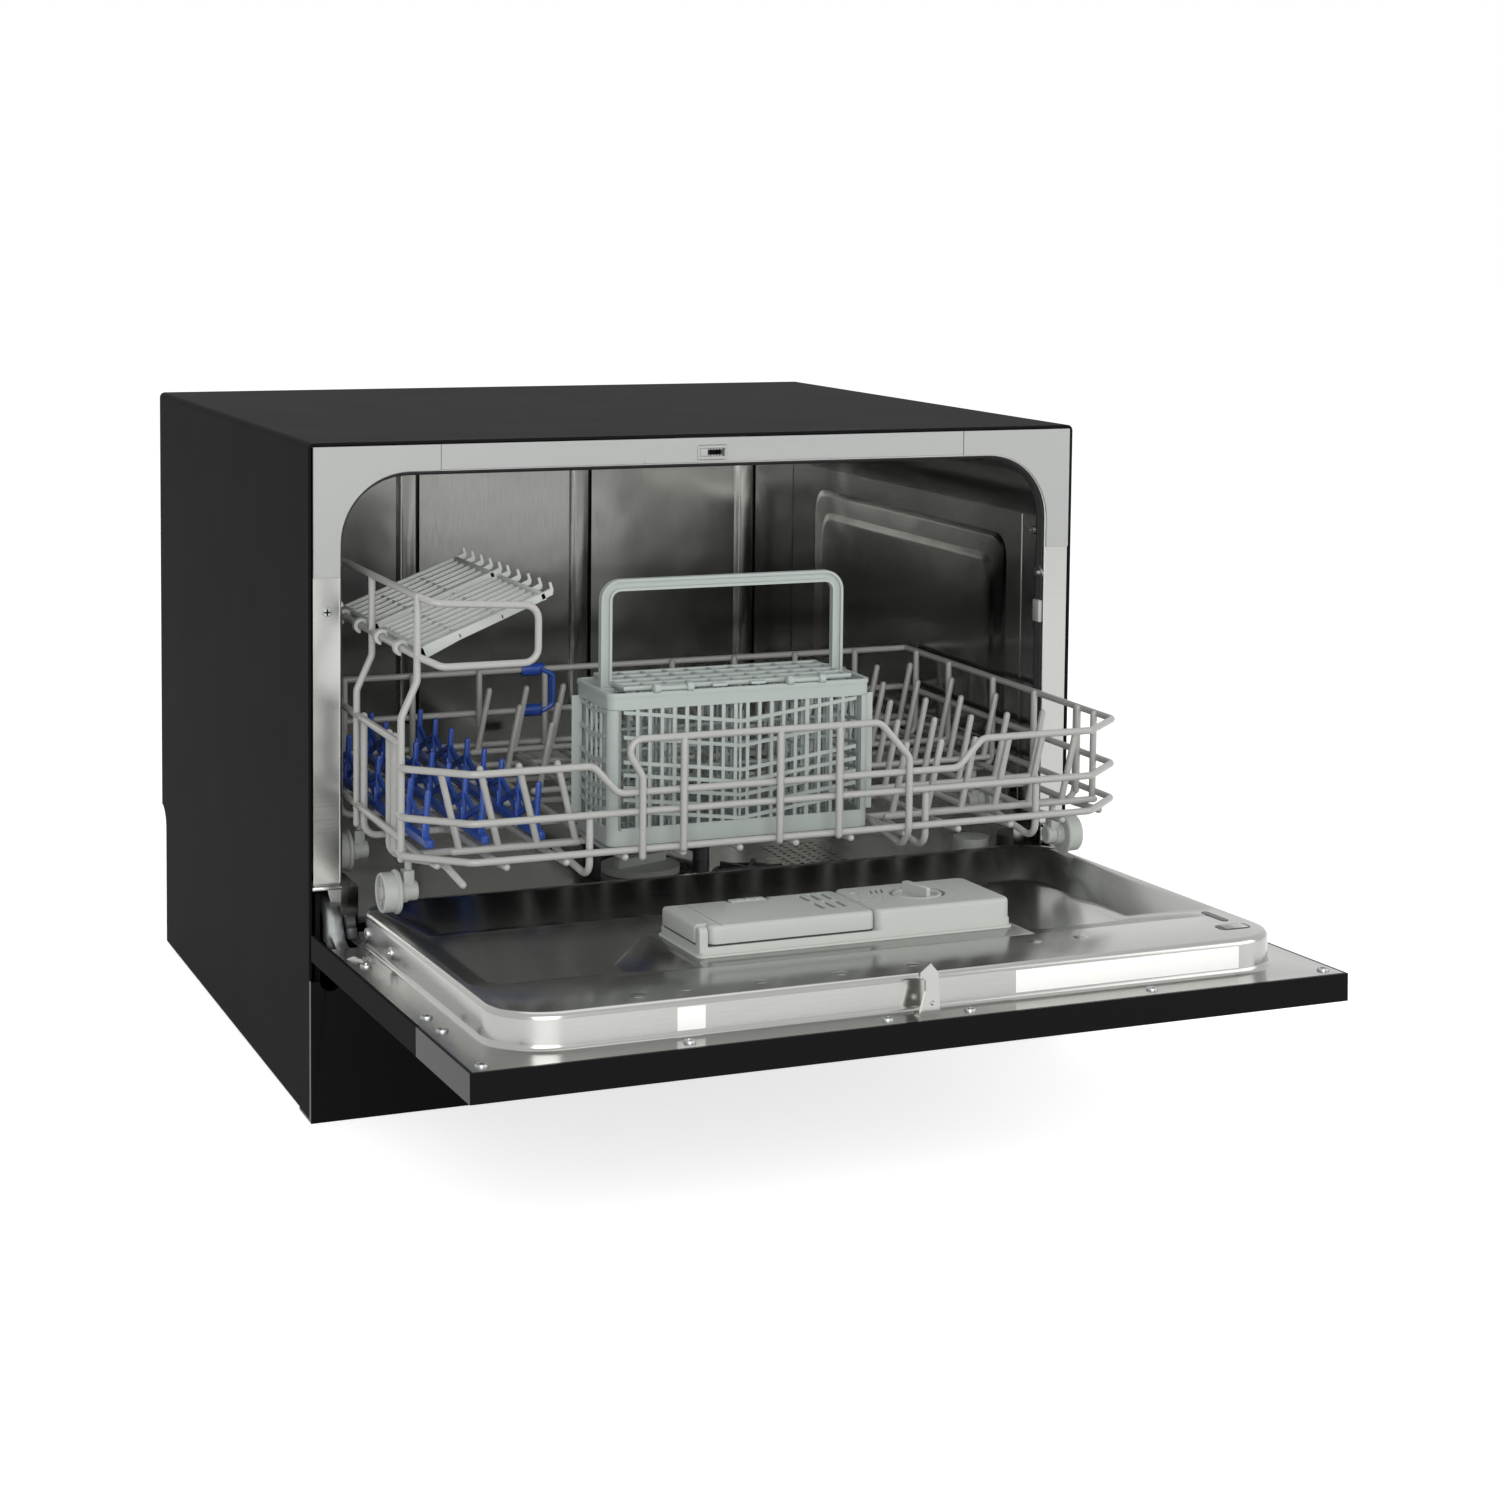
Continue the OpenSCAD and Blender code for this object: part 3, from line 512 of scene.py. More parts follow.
def tile(mesh, box, radius, low, high, edge=0.0, low_edge=None, steps=6):
    """An upright block with rounded corners. The box is its x, y, x, y."""
    slab(mesh, ring_outline(*box, radius, steps), low, high, edge, low_edge=low_edge)


def outward(box, distance):
    """A rectangle made larger on every side."""
    return (box[0] - distance, box[1] - distance, box[2] + distance, box[3] + distance)


def on_side(side, near, far):
    """The lower and the higher x between two distances from the middle, on one side."""
    return sorted((side * near, side * far))


def brick(mesh, low, high, edge=0.3):
    """A block between two corners with rounded edges."""
    made = bmesh.ops.create_cube(mesh, size=1)
    low, high = Vector(low), Vector(high)
    for vertex in made["verts"]:
        vertex.co = (low + high) / 2 + Vector(a * b for a, b in zip(vertex.co, high - low))
    edges = list(dict.fromkeys(e for v in made["verts"] for e in v.link_edges))
    bmesh.ops.bevel(mesh, geom=edges, offset=edge, segments=2, profile=0.5, affect="EDGES")


def lathe(mesh, profile, place=(0, 0, 0), axis="Z", sides=32, turn=0.0):
    """A turned shape from radius and height pairs, round an axis through a place."""
    turns = [turn + 2 * math.pi * k / sides for k in range(sides)]
    place = Vector(place)
    loft(mesh, [
        [place + AXES[axis] @ Vector((r * math.cos(a), r * math.sin(a), height)) for a in turns]
        for r, height in profile
    ])


CROSS_HALF = 0.5  # half the width of a screw's cross recess
SCREW_SIDES = 32


def screw(mesh, place, axis="Z", way=1, radius=3.6, turn=0.0):
    """A pan head with a cross recess, standing on a place."""

    def cross(a, reach):
        """How far the outline of the recess is from its middle, at an angle."""
        x, y = max(abs(math.cos(a)), 0.01), max(abs(math.sin(a)), 0.01)
        return max(min(reach / x, CROSS_HALF / y), min(reach / y, CROSS_HALF / x))

    angles = [2 * math.pi * k / SCREW_SIDES for k in range(SCREW_SIDES)]
    head = ((1, -0.3), (1, 0.7), (0.94, 1.2), (0.86, 1.38), (0.74, 1.4))
    rings = [[(a, radius * share, z) for a in angles] for share, z in head]
    rings += [[(a, cross(a, reach), z) for a in angles] for reach, z in ((2.3, 1.4), (1.9, 0.0))]
    made = bmesh.new()
    loft(made, [
        [Vector((r * math.cos(a + turn), r * math.sin(a + turn), way * z)) for a, r, z in ring]
        for ring in rings
    ])
    merge(mesh, made, Matrix.Translation(place) @ AXES[axis])


def arch(low_x, high_x, foot, top, radius, steps=8):
    """A doorway line from foot to foot: each point with the direction that leads inside."""
    line = [(low_x, foot, 1, 0)]
    for middle, start in ((low_x + radius, 180), (high_x - radius, 90)):
        for k in range(steps + 1):
            a = math.radians(start - 90 * k / steps)
            x, z = math.cos(a), math.sin(a)
            line.append((middle + radius * x, top - radius + radius * z, -x, -z))
    return line + [(high_x, foot, -1, 0)]


def border(mesh, line, profile):
    """Carries a closed profile of (inward, y) pairs along a doorway line."""
    loft(mesh, [
        [Vector((x + n * inward_x, y, z + n * inward_z)) for n, y in profile]
        for x, z, inward_x, inward_z in line
    ])


def tube_wall(mesh, outline, wall, low, high, edge=0.4):
    """A hollow band: an outline with a wall inside it, open at both ends."""
    shape = [(0, low), (0, high - edge), (edge, high)]
    shape += [(wall - edge, high), (wall, high - edge), (wall, low), (0, low)]
    rings = [[Vector((*p, z)) for p in inset(outline, shift)] for shift, z in shape]
    loft(mesh, rings, first=False, last=False)


def bar(mesh, points, across, half_width, half_height):
    """A flat bar along a few points, with its width along one direction and its height along Z."""
    side = Vector(across) * half_width
    up = Vector((0, 0, half_height))
    corners = (-side - up, side - up, side + up, -side + up)
    loft(mesh, [[Vector(point) + corner for corner in corners] for point in points])


# ---------- basket wires ----------

RIM_X = span("basket_sides")[1].x - 2.5
RIM_Y = -143.5
BACK_Y = 205
SPLIT_Y = -100
BEVEL_X, BEVEL_Y = 211, -112
RIMS_Z = LOW_Z, MID_Z, TOP_Z = 196.5, 220, 250
DIP_Z, GRIP_Z, FLOOR_Z = 232, 265.5, 190.5
DIP = ((-135, TOP_Z), (-118.5, DIP_Z), (113.5, DIP_Z), (130.5, TOP_Z))
GRIP = ((-104, LOW_Z - 4), (-104, 242), (-118, GRIP_Z), (56, GRIP_Z), (77, 242), (77, LOW_Z - 2))
CROSSING_X = RIM_X - 3.2  # where the wires stand that cross the side rims
CROSS_Y = (-68, -8, 54, 125, 180)
LEFT_RAILS = (206, 264)
WIRE_STEP = 3.4  # how far a crossing wire stands off the wire it is welded to
RAIL_X, RAIL_Z = (JOINTS["cup_shelf_front_fold"]["pos_m"][axis] / MM for axis in (0, 2))
SHELF_TOP = 353.5
POST_Y = (-106, -2, 95)
LOOP_Y = -115


def rim(z):
    """The points of a front rim, from one side to the other."""
    right = [(BEVEL_X, RIM_Y, z), (RIM_X, BEVEL_Y, z), (RIM_X, SPLIT_Y, z)]
    return [(-x, y, z) for x, y, z in right[::-1]] + right


def wires(name, paths, radius, nodes):
    """Makes one piece of the basket of bent wires."""
    bend = bpy.context.scene.dishwasher_sizes.bend
    mesh = bmesh.new()
    for path in paths:
        sweep(mesh, path, radius / MM, bend / MM)
    piece(name, mesh, "wire", "basket", nodes, sharp=80)


class DISHWASHER_OT_basket_wires(bpy.types.Operator):
    """Builds the rims, sides, back and floor of the wire basket"""

    bl_idname = "dishwasher.basket_wires"
    bl_label = "Basket wires"

    def execute(self, context):
        wire = context.scene.dishwasher_sizes.wire
        top = rim(TOP_Z)
        paths = [rim(LOW_Z), rim(MID_Z), top[:3] + [(x, RIM_Y, z) for x, z in DIP] + top[3:]]
        front, inside = RIM_Y - WIRE_STEP, RIM_Y + WIRE_STEP
        grip = [(x, front, z) for x, z in GRIP]
        paths.append(grip + [(77, front + 10, 183), (74, RIM_Y + 46, FLOOR_Z)])
        paths += [[(x, front, LOW_Z - 1), (x, front, GRIP_Z)] for x in (-77, -12.5, 28)]
        for x in (-136, 92, 172):
            hanger = [(x, inside, MID_Z), (x, inside, 186), (x, RIM_Y + 12, 181)]
            paths.append(hanger + [(x - 8, RIM_Y + 44, FLOOR_Z)])
        wires("basket_front_wires", paths, wire, ["basket_front"])

        paths = [[(-RIM_X, -105, z), (-RIM_X, BACK_Y, z)] for z in LEFT_RAILS]
        paths += [[(RIM_X, SPLIT_Y, z), (RIM_X, BACK_Y, z)] for z in RIMS_Z]
        paths.append([(-CROSSING_X, -80, LOW_Z - 3), (-CROSSING_X, -80, LEFT_RAILS[1])])
        paths += [[(CROSSING_X, y, LOW_Z - 3), (CROSSING_X, y, TOP_Z)] for y in (-92, -70)]
        brace = [(-RIM_X + 4, -104, LOW_Z - 3), (-222, -120, LOW_Z - 5), (-214.7, -135, 181.6)]
        paths.append(brace)
        wires("basket_side_wires", paths, wire, ["basket_sides"])

        paths = [[(-RIM_X, BACK_Y, z), (RIM_X, BACK_Y, z)] for z in RIMS_Z]
        y = BACK_Y - WIRE_STEP
        paths += [[(x, y, LOW_Z - 5), (x, y, TOP_Z)] for x in range(-200, 201, 50)]
        wires("basket_back_wires", paths, wire, ["basket_back"])

        paths = []
        for x in range(-228, 229, 38):
            end = RIM_Y + 18 if abs(x) > BEVEL_X else RIM_Y
            paths.append([(x, end, LOW_Z - 4.3), (x, end + 34, FLOOR_Z), (x, BACK_Y, FLOOR_Z)])
        right = ((CROSSING_X, TOP_Z), (CROSSING_X, FLOOR_Z - 4))
        left = ((-CROSSING_X, FLOOR_Z - 4), (-CROSSING_X, LEFT_RAILS[1]))
        paths += [[(x, y, z) for x, z in right + left] for y in CROSS_Y]
        wires("basket_floor_wires", paths, wire, ["basket_floor"])
        return {"FINISHED"}


TINE_ROWS = (  # first x, last x, step, y, lean and height
    (78, 232, 25, -112, 10, 46),
    (-214, -134, 25, -112, -12, 50),
    *((-112, 232, 28, y, 9, 44) for y in (-30, 40, 110, 180)),
)
GLASS_ROWS_X = (-222, -186, -150)
GLASS_TINES_Y = range(-80, 187, 38)
GLASS_TINE_TOP = 31


def tine_row(first, last, step, y, lean, height):
    """A base wire and the leaning tines that stand on it."""
    row = [[(first, y, LOW_Z), (last, y, LOW_Z)]]
    x = first + 4
    while x < last - 0.5:
        row.append([(x, y + 0.4, LOW_Z + 0.7), (x + lean, y + 0.4, LOW_Z + height)])
        x += step
    return row


class DISHWASHER_OT_tines(bpy.types.Operator):
    """Builds the plate tines and the blue glass tines"""

    bl_idname = "dishwasher.tines"
    bl_label = "Tines"

    def execute(self, context):
        tine = context.scene.dishwasher_sizes.tine
        paths = [path for row in TINE_ROWS for path in tine_row(*row)]
        wires("plate_tine_wires", paths, tine, ["plate_tines"])
        mesh = bmesh.new()
        for x in GLASS_ROWS_X:
            tile(mesh, (x - 3, -91, x + 3, 189), 2.9, LOW_Z - 2, LOW_Z + 3, 0.8)
            for y in GLASS_TINES_Y:
                brick(mesh, (x - 2.2, y - 1.5, LOW_Z), (x + 2.2, y + 1.5, LOW_Z + 12), 0.5)
                top = (x + 1.5, y, LOW_Z + GLASS_TINE_TOP)
                sweep(mesh, [(x, y, LOW_Z + 8), top], 2, sides=8)
            for y, next_y in zip(GLASS_TINES_Y, GLASS_TINES_Y[1:]):
                for low, high in ((5, 20), (20, 5)):
                    ends = [(x, y, LOW_Z + low), (x + 1, next_y, LOW_Z + high)]
                    bar(mesh, ends, (1, 0, 0), 1.1, 1.8)
        piece("glass_tine_strips", mesh, "blue", "basket", ["glass_tines"])
        return {"FINISHED"}


class DISHWASHER_OT_shelf_wires(bpy.types.Operator):
    """Builds the wires that carry the cup shelves"""

    bl_idname = "dishwasher.shelf_wires"
    bl_label = "Cup shelf wires"

    def execute(self, context):
        wire = context.scene.dishwasher_sizes.wire
        post = ((-RIM_X, LOW_Z - 3), (-RIM_X, 280), (RAIL_X, 302), (RAIL_X, SHELF_TOP))
        paths = [[(x, y, z) for x, z in post] for y in POST_Y]
        first, _, last = POST_Y
        loop = [(RAIL_X, last, SHELF_TOP), (RAIL_X, first, SHELF_TOP)]
        loop += [(x, LOOP_Y, z) for x, z in ((-226, 350), (-161, 346), (-161, 311), (-222, 311))]
        paths.append(loop + [(RAIL_X, first, RAIL_Z)])
        wires("shelf_post_wires", paths, wire, ["shelf_frame"])
        rail = [(RAIL_X, first + 2.6, RAIL_Z), (RAIL_X, last - 2.6, RAIL_Z)]
        wires("shelf_rail_wire", [rail], wire, ["shelf_rail"])
        return {"FINISHED"}


# ---------- wheels ----------

WHEEL_X = (234.5, 237.5, 246)  # inner flange, tread, outer face
FLANGE_R, TREAD_R, HUB_R, AXLE_R = 13.9, 12.5, 4.6, 2.5
AXLE_HOLE = AXLE_R + 0.1
SPOKES = 6
HOLDERS_Y = (-62, 56)
HOLDER_STUB = (  # radius and x
    (0.01, 222.5), (5.4, 222.5), (6.2, 223.2), (6.2, 229), (7.2, 229.3), (7.2, 234.2),
    (AXLE_R, 234.2), (AXLE_R, 244.8), (3.6, 244.8), (3.6, 245.5), (3.2, 245.8), (0.01, 245.8),
)


def wheel(body, side, centre):
    """A moulded basket wheel: a flange, a tread, thin spokes and a hub."""
    mesh = bmesh.new()
    inner, tread, outer = (x - centre.x * side for x in WHEEL_X)
    bore = TREAD_R - 1.9
    tyre = [
        (bore, inner), (FLANGE_R - 0.8, inner), (FLANGE_R, inner + 0.7), (FLANGE_R, inner + 2.2),
        (FLANGE_R - 0.9, tread), (TREAD_R, tread + 0.2), (TREAD_R, outer - 0.8),
        (TREAD_R - 0.7, outer), (bore + 0.3, outer), (bore, outer - 0.3),
    ]
    hub = [
        (AXLE_HOLE, inner), (HUB_R, inner), (HUB_R, outer - 0.7), (HUB_R - 0.5, outer - 0.3),
        (AXLE_HOLE, outer - 0.3),
    ]
    for profile in (tyre, hub):
        lathe(mesh, profile + profile[:1], axis="X", sides=40)
    for k in range(SPOKES):
        spoke = bmesh.new()
        brick(spoke, (inner + 0.6, HUB_R - 0.6, -0.8), (outer - 1.3, bore + 0.5, 0.8), 0.25)
        spoke.transform(Matrix.Rotation(2 * math.pi * k / SPOKES, 4, "X"))
        merge(mesh, spoke)
    mesh.transform(Matrix.Translation(centre) @ Matrix.Scale(side, 4, (1, 0, 0)))
    piece(body + "_moulding", mesh, "grey", body, [body])


class DISHWASHER_OT_wheels(bpy.types.Operator):
    """Builds the basket's four wheels and their holders"""

    bl_idname = "dishwasher.wheels"
    bl_label = "Wheels"

    def execute(self, context):
        for end in ("front", "rear"):
            for name, side in (("left", -1), ("right", 1)):
                joint = JOINTS[f"wheel_{end}_{name}_spin"]
                wheel(f"wheel_{end}_{name}", side, Vector(joint["pos_m"]) / MM)
        mesh = bmesh.new()
        for side in (-1, 1):
            for y in HOLDERS_Y:
                holder = bmesh.new()
                lathe(holder, HOLDER_STUB, (0, y, 162.4), "X")
                sweep(holder, [(228, y, 166), (228, y, FLOOR_Z)], 2.3)
                brick(holder, (225, y - 4.5, 164), (232, y + 4.5, 176), 0.8)
                merge(mesh, holder, Matrix.Scale(side, 4, (1, 0, 0)))
        piece("wheel_holder_stubs", mesh, "grey", "basket", ["wheel_holders"])
        return {"FINISHED"}


# ---------- stage ----------

IMAGE_SIDE = 1500
FOCAL_PIXELS = 2820
CENTRE_PIXEL_Y = 415
SENSOR_WIDTH = 36
CAMERA_PLACE = (-0.7052, -1.7398, 0.5951)
CAMERA_TURN = (22.80, 4.39, 0.59)  # yaw to the right, pitch down and roll, in degrees
FLOOR_SIZE = 12
FLOOR_GLOW = 0.72
SKY_LIGHT = 0.36
LAMPS = (  # name, place and width in metres, and power in watts
    ("key", (-0.9, -2.9, 1.3), 2.2, 62),
    ("fill", (2.2, -1.8, 1.2), 1.8, 20),
    ("top", (0.2, 0.4, 2.6), 1.8, 8),
)
LAMP_TARGET = (0, 0, 0.2)


def seen_plainly(tree):
    """A socket: 1 for rays from the camera, off a mirror or through glass, and 0 for light."""
    ray = node(tree, "ShaderNodeLightPath")
    seen = ray.outputs["Is Camera Ray"]
    for kind in ("Glossy", "Transmission"):
        either = {0: seen, 1: ray.outputs[f"Is {kind} Ray"]}
        seen = node(tree, "ShaderNodeMath", either, operation="MAXIMUM").outputs[0]
    return seen


class DISHWASHER_OT_stage(bpy.types.Operator):
    """Makes the floor, the soft studio lights and the camera"""

    bl_idname = "dishwasher.stage"
    bl_label = "Stage"

    def execute(self, context):
        scene = context.scene
        scene.view_settings.view_transform = "Standard"
        data = bpy.data.cameras.new("camera")
        camera = bpy.data.objects.new("camera", data)
        scene.collection.objects.link(camera)
        yaw, pitch, roll = (math.radians(a) for a in CAMERA_TURN)
        ahead = Vector((
            math.sin(yaw) * math.cos(pitch), math.cos(yaw) * math.cos(pitch), -math.sin(pitch)
        ))
        right = Vector((math.cos(yaw), -math.sin(yaw), 0))
        up = right.cross(ahead)
        rolled_right = right * math.cos(roll) + up * math.sin(roll)
        rolled_up = up * math.cos(roll) - right * math.sin(roll)
        camera.matrix_world = Matrix.Translation(CAMERA_PLACE) @ Matrix(
            (rolled_right, rolled_up, -ahead)
        ).transposed().to_4x4()
        data.sensor_width = SENSOR_WIDTH
        data.lens = FOCAL_PIXELS / IMAGE_SIDE * SENSOR_WIDTH
        data.shift_y = (CENTRE_PIXEL_Y - IMAGE_SIDE / 2) / IMAGE_SIDE
        scene.camera = camera

        mesh = bmesh.new()
        bmesh.ops.create_grid(mesh, x_segments=1, y_segments=1, size=FLOOR_SIZE)
        floor_data = bpy.data.meshes.new("floor")
        mesh.to_mesh(floor_data)
        mesh.free()
        floor = bpy.data.objects.new("floor", floor_data)
        scene.collection.objects.link(floor)
        material, tree, principled, _ = finish(
            "matt_white_floor", linear("#F4F4F4"), 0.9, Specular_IOR_Level=0.0
        )
        principled.inputs["Emission Color"].default_value = (1, 1, 1, 1)
        shares = {0: seen_plainly(tree), 1: FLOOR_GLOW}
        glow = node(tree, "ShaderNodeMath", shares, operation="MULTIPLY")
        tree.links.new(glow.outputs[0], principled.inputs["Emission Strength"])
        floor_data.materials.append(material)

        world = bpy.data.worlds.new("studio")
        scene.world = world
        world.use_nodes = True
        tree = world.node_tree
        tree.nodes.clear()
        shares = {"Value": seen_plainly(tree), "To Min": SKY_LIGHT, "To Max": 1.0}
        strength = node(tree, "ShaderNodeMapRange", shares).outputs["Result"]
        sky = node(tree, "ShaderNodeBackground", {"Color": (1, 1, 1, 1), "Strength": strength})
        node(tree, "ShaderNodeOutputWorld", {"Surface": sky.outputs["Background"]})
        for name, place, size, power in LAMPS:
            lamp_data = bpy.data.lights.new(name, "AREA")
            lamp_data.size = size
            lamp_data.energy = power
            lamp = bpy.data.objects.new(name, lamp_data)
            lamp.location = place
            beam = Vector(LAMP_TARGET) - Vector(place)
            lamp.rotation_euler = beam.to_track_quat("-Z", "Y").to_euler()
            scene.collection.objects.link(lamp)
        return {"FINISHED"}


# ---------- door ----------

DISH_LOW, DISH_HIGH = span("door_liner", door=True)
FLANGE_Z = 124
DISH_Z = DISH_HIGH.z
DISH = (-250, -322, 250, -12)  # outer wall of the raised dish: x, y, x, y
DISH_TOP = (-243, -258, 243, -21)  # where the hollow starts, at the rim
DISH_FLOOR = (-215.5, -194, 215.5, -57)
DISH_FLOOR_Z = 129
DISH_CORNER, DISH_TOP_CORNER, DISH_FLOOR_CORNER = 36, 22, 12
LINER_SHEET = 0.9
DISH_ROOT = 3.5  # radius of the bend where the dish rises from the flange
DISH_EDGE = 2.5  # how far the bends of the hollow reach
HINGE_NOTCH = (255, -46)
PAD_TOP = (109, -262, -165)  # half width, front and back of the raised pad under the dispenser
PAD_FOOT = (131, -170, 87, -106)  # its foot: wide corner x, y and back corner x, y


class DISHWASHER_OT_door_liner(bpy.types.Operator):
    """Builds the pressed stainless liner of the door"""

    bl_idname = "dishwasher.door_liner"
    bl_label = "Door liner"

    def execute(self, context):
        fold = context.scene.dishwasher_sizes.rim_fold / MM
        rings = []

        def add_ring(box, radius, z):
            """Adds a level ring of the pressing."""
            rings.append([Vector((x, y, z)) for x, y in ring_outline(*box, radius, 9)])

        for k in range(5):
            a = math.pi / 2 * k / 4
            grow = DISH_ROOT * (1 - math.sin(a))
            rise = DISH_ROOT * (1 - math.cos(a))
            add_ring(outward(DISH, grow), DISH_CORNER + grow, FLANGE_Z + rise)
        for k in range(6):
            a = math.pi / 2 * k / 5
            shrink = fold * (1 - math.cos(a))
            drop = fold * (1 - math.sin(a))
            add_ring(outward(DISH, -shrink), DISH_CORNER - shrink, DISH_Z - drop)
        for share, drop in ((1, 0), (0.4, 0.25), (-0.8, 1.3)):
            grow = DISH_EDGE * share
            add_ring(outward(DISH_TOP, grow), DISH_TOP_CORNER + grow, DISH_Z - drop)
        for share, rise in ((1, 1.2), (-0.6, 0.15)):
            grow = DISH_EDGE * share
            add_ring(outward(DISH_FLOOR, grow), DISH_FLOOR_CORNER + grow, DISH_FLOOR_Z + rise)
        add_ring(outward(DISH_FLOOR, -DISH_EDGE * 2), 9, DISH_FLOOR_Z)
        mesh = bmesh.new()
        rows = loft(mesh, rings, first=False)

        low, high = DISH_LOW, DISH_HIGH
        x, y = HINGE_NOTCH
        outer = [(low.x, low.y), (high.x, low.y), (high.x, y), (x, y), (x, high.y)]
        outer += [(-x, high.y), (-x, y), (low.x, y)]
        verts = [mesh.verts.new((*p, FLANGE_Z)) for p in outer]
        edges = [mesh.edges.new((a, b)) for a, b in zip(verts, verts[1:] + verts[:1])]
        edges += [mesh.edges.get((a, b)) for a, b in zip(rows[0], rows[0][1:] + rows[0][:1])]
        bmesh.ops.triangle_fill(mesh, edges=edges, use_beauty=True, normal=(0, 0, 1))
        liner = piece(
            "door_liner_pressing", mesh, "stainless", "door", ["door_liner"], door=True
        )
        solid = liner.modifiers.new("sheet", "SOLIDIFY")
        solid.thickness = LINER_SHEET * MM
        solid.offset = -1

        half, front, back = PAD_TOP
        wide, wide_y, narrow, narrow_y = PAD_FOOT
        mesh = bmesh.new()
        top = [(-half, front), (half, front), (half, back), (-half, back)]
        foot = [(-wide, front), (wide, front), (wide, wide_y)]
        foot += [(narrow, narrow_y), (-narrow, narrow_y), (-wide, wide_y)]
        # The corners of its top are p to s, and those of its foot are a to f.
        upper = p, q, r, s = [mesh.verts.new((x, y, DISH_Z + 0.15)) for x, y in top]
        lower = a, b, c, d, e, f = [mesh.verts.new((x, y, DISH_FLOOR_Z + 0.02)) for x, y in foot]
        walls = ((b, c, r, q), (c, d, r), (d, e, s, r), (e, f, s), (f, a, p, s), (a, b, q, p))
        for corners in (upper, *walls, lower[::-1]):
            mesh.faces.new(corners)
        creases = [edge for edge in mesh.edges if any(v in upper for v in edge.verts)]
        bmesh.ops.bevel(mesh, geom=creases, offset=2.5, segments=3, profile=0.5, affect="EDGES")
        piece("dispenser_pad", mesh, "stainless", "door", door=True)
        return {"FINISHED"}


FRONT_SCREWS_X, FRONT_SCREWS_Y = (265, 146, 26), -334
SIDE_SCREWS_X, SIDE_SCREWS_Y = 264, (-258, -227, -96)
WALL_SCREWS_X, WALL_SCREWS_Y = 250, (-48, -103)
DIMPLES = (
    (-165, -305), (-135, -301), (-90, -302), (-41, -303), (5.7, -300), (98, -278), (129, -279)
)
DIMPLE = ((5, -0.1), (4.2, 0.2), (2.8, 0.4), (1.4, 0.5), (0.01, 0.52))  # radius and height
STUD = ((9, -0.3), (7.5, 0.6), (4.5, 1.9), (0.01, 2))
LABELS = ((-148.5, -131.8, 127.6, 140.6), (62, 213, 127.8, 141))  # x, x, z, z
DRAIN_RIBS_Y = (-296, -293.4, -290.8, -288.2)


class DISHWASHER_OT_door_fittings(bpy.types.Operator):
    """Builds the screws, labels, dimples and drain slot of the door liner, the slot's openings as
    painted shade
    """

    bl_idname = "dishwasher.door_fittings"
    bl_label = "Door fittings"

    def execute(self, context):
        mesh = bmesh.new()
        for side in (-1, 1):
            for k, x in enumerate(FRONT_SCREWS_X):
                screw(mesh, (side * x, FRONT_SCREWS_Y, FLANGE_Z), turn=0.4 + k)
            for k, y in enumerate(SIDE_SCREWS_Y):
                screw(mesh, (side * SIDE_SCREWS_X, y, FLANGE_Z), turn=0.9 + k)
            for k, y in enumerate(WALL_SCREWS_Y):
                place = (side * WALL_SCREWS_X, y, FLANGE_Z + 8.5)
                screw(mesh, place, "X", way=side, turn=0.3 + k)
        piece(
            "liner_screw_heads", mesh, "zinc", "door", ["liner_screws"], door=True
        )

        mesh = bmesh.new()
        for x, y in DIMPLES:
            lathe(mesh, DIMPLE, (x, y, DISH_Z), sides=24)
        for side in (-1, 1):
            lathe(mesh, STUD, (side * 263, -78, FLANGE_Z), sides=3, turn=0.5)
        piece("liner_dimples", mesh, "stainless", "door", door=True, sharp=60)

        front = DISH[1]
        mesh = bmesh.new()
        for left, right, low, high in LABELS:
            brick(mesh, (left, front - 0.25, low), (right, front + 0.2, high), 0.1)
        piece("blank_labels", mesh, "label", "door", door=True)

        # A flat dark patch on the liner, under the drain ribs, is painted shade in the slot's
        # openings.
        mesh = bmesh.new()
        tile(mesh, (230.5, -277, 235.5, -250), 2.4, DISH_Z - 0.2, DISH_Z + 0.25)
        tile(mesh, (217.5, -298, 238.5, -285.5), 4, DISH_Z - 0.2, DISH_Z + 0.25)
        piece("drain_slot_painted_shade", mesh, "dark", "door", door=True)
        mesh = bmesh.new()
        for y in DRAIN_RIBS_Y:
            brick(mesh, (220.5, y - 0.6, DISH_Z), (236, y + 0.6, DISH_Z + 0.7), 0.25)
        piece("drain_ribs", mesh, "stainless", "door", door=True)
        return {"FINISHED"}


DISP = (-102.5, -240, 102.5, -174)  # the dispenser's x, y, x, y
DISP_TOP = DISH_Z + 18.5
LID_RIGHT = 11
LID_DEPTH = 11
LID_GAP = 1.2
KNOB = (55.5, -205)
KNOB_R = 15.5
KNOB_WELL_R = 17.5
HINGE_POST = 5.4
LID_SLOTS = [  # x, y, x, y of each
    (x, y - 9, x + 2.8, y + 9) for x in (-16.5, -9.2, -1.9) for y in (-213.5, -191.5)
]
DOTS = (
    (11.5, -209), (15.5, -203), (15.5, -215), (19.5, -209), (23.5, -203), (23.5, -215), (27.5, -209)
)


def drill(mesh, radius, depth, x, y, sides=12):
    """Adds the bore of a round hole in the top of the dispenser to a cutter."""
    lathe(mesh, [(radius, DISP_TOP - depth), (radius, DISP_TOP + 2)], (x, y, 0), sides=sides)


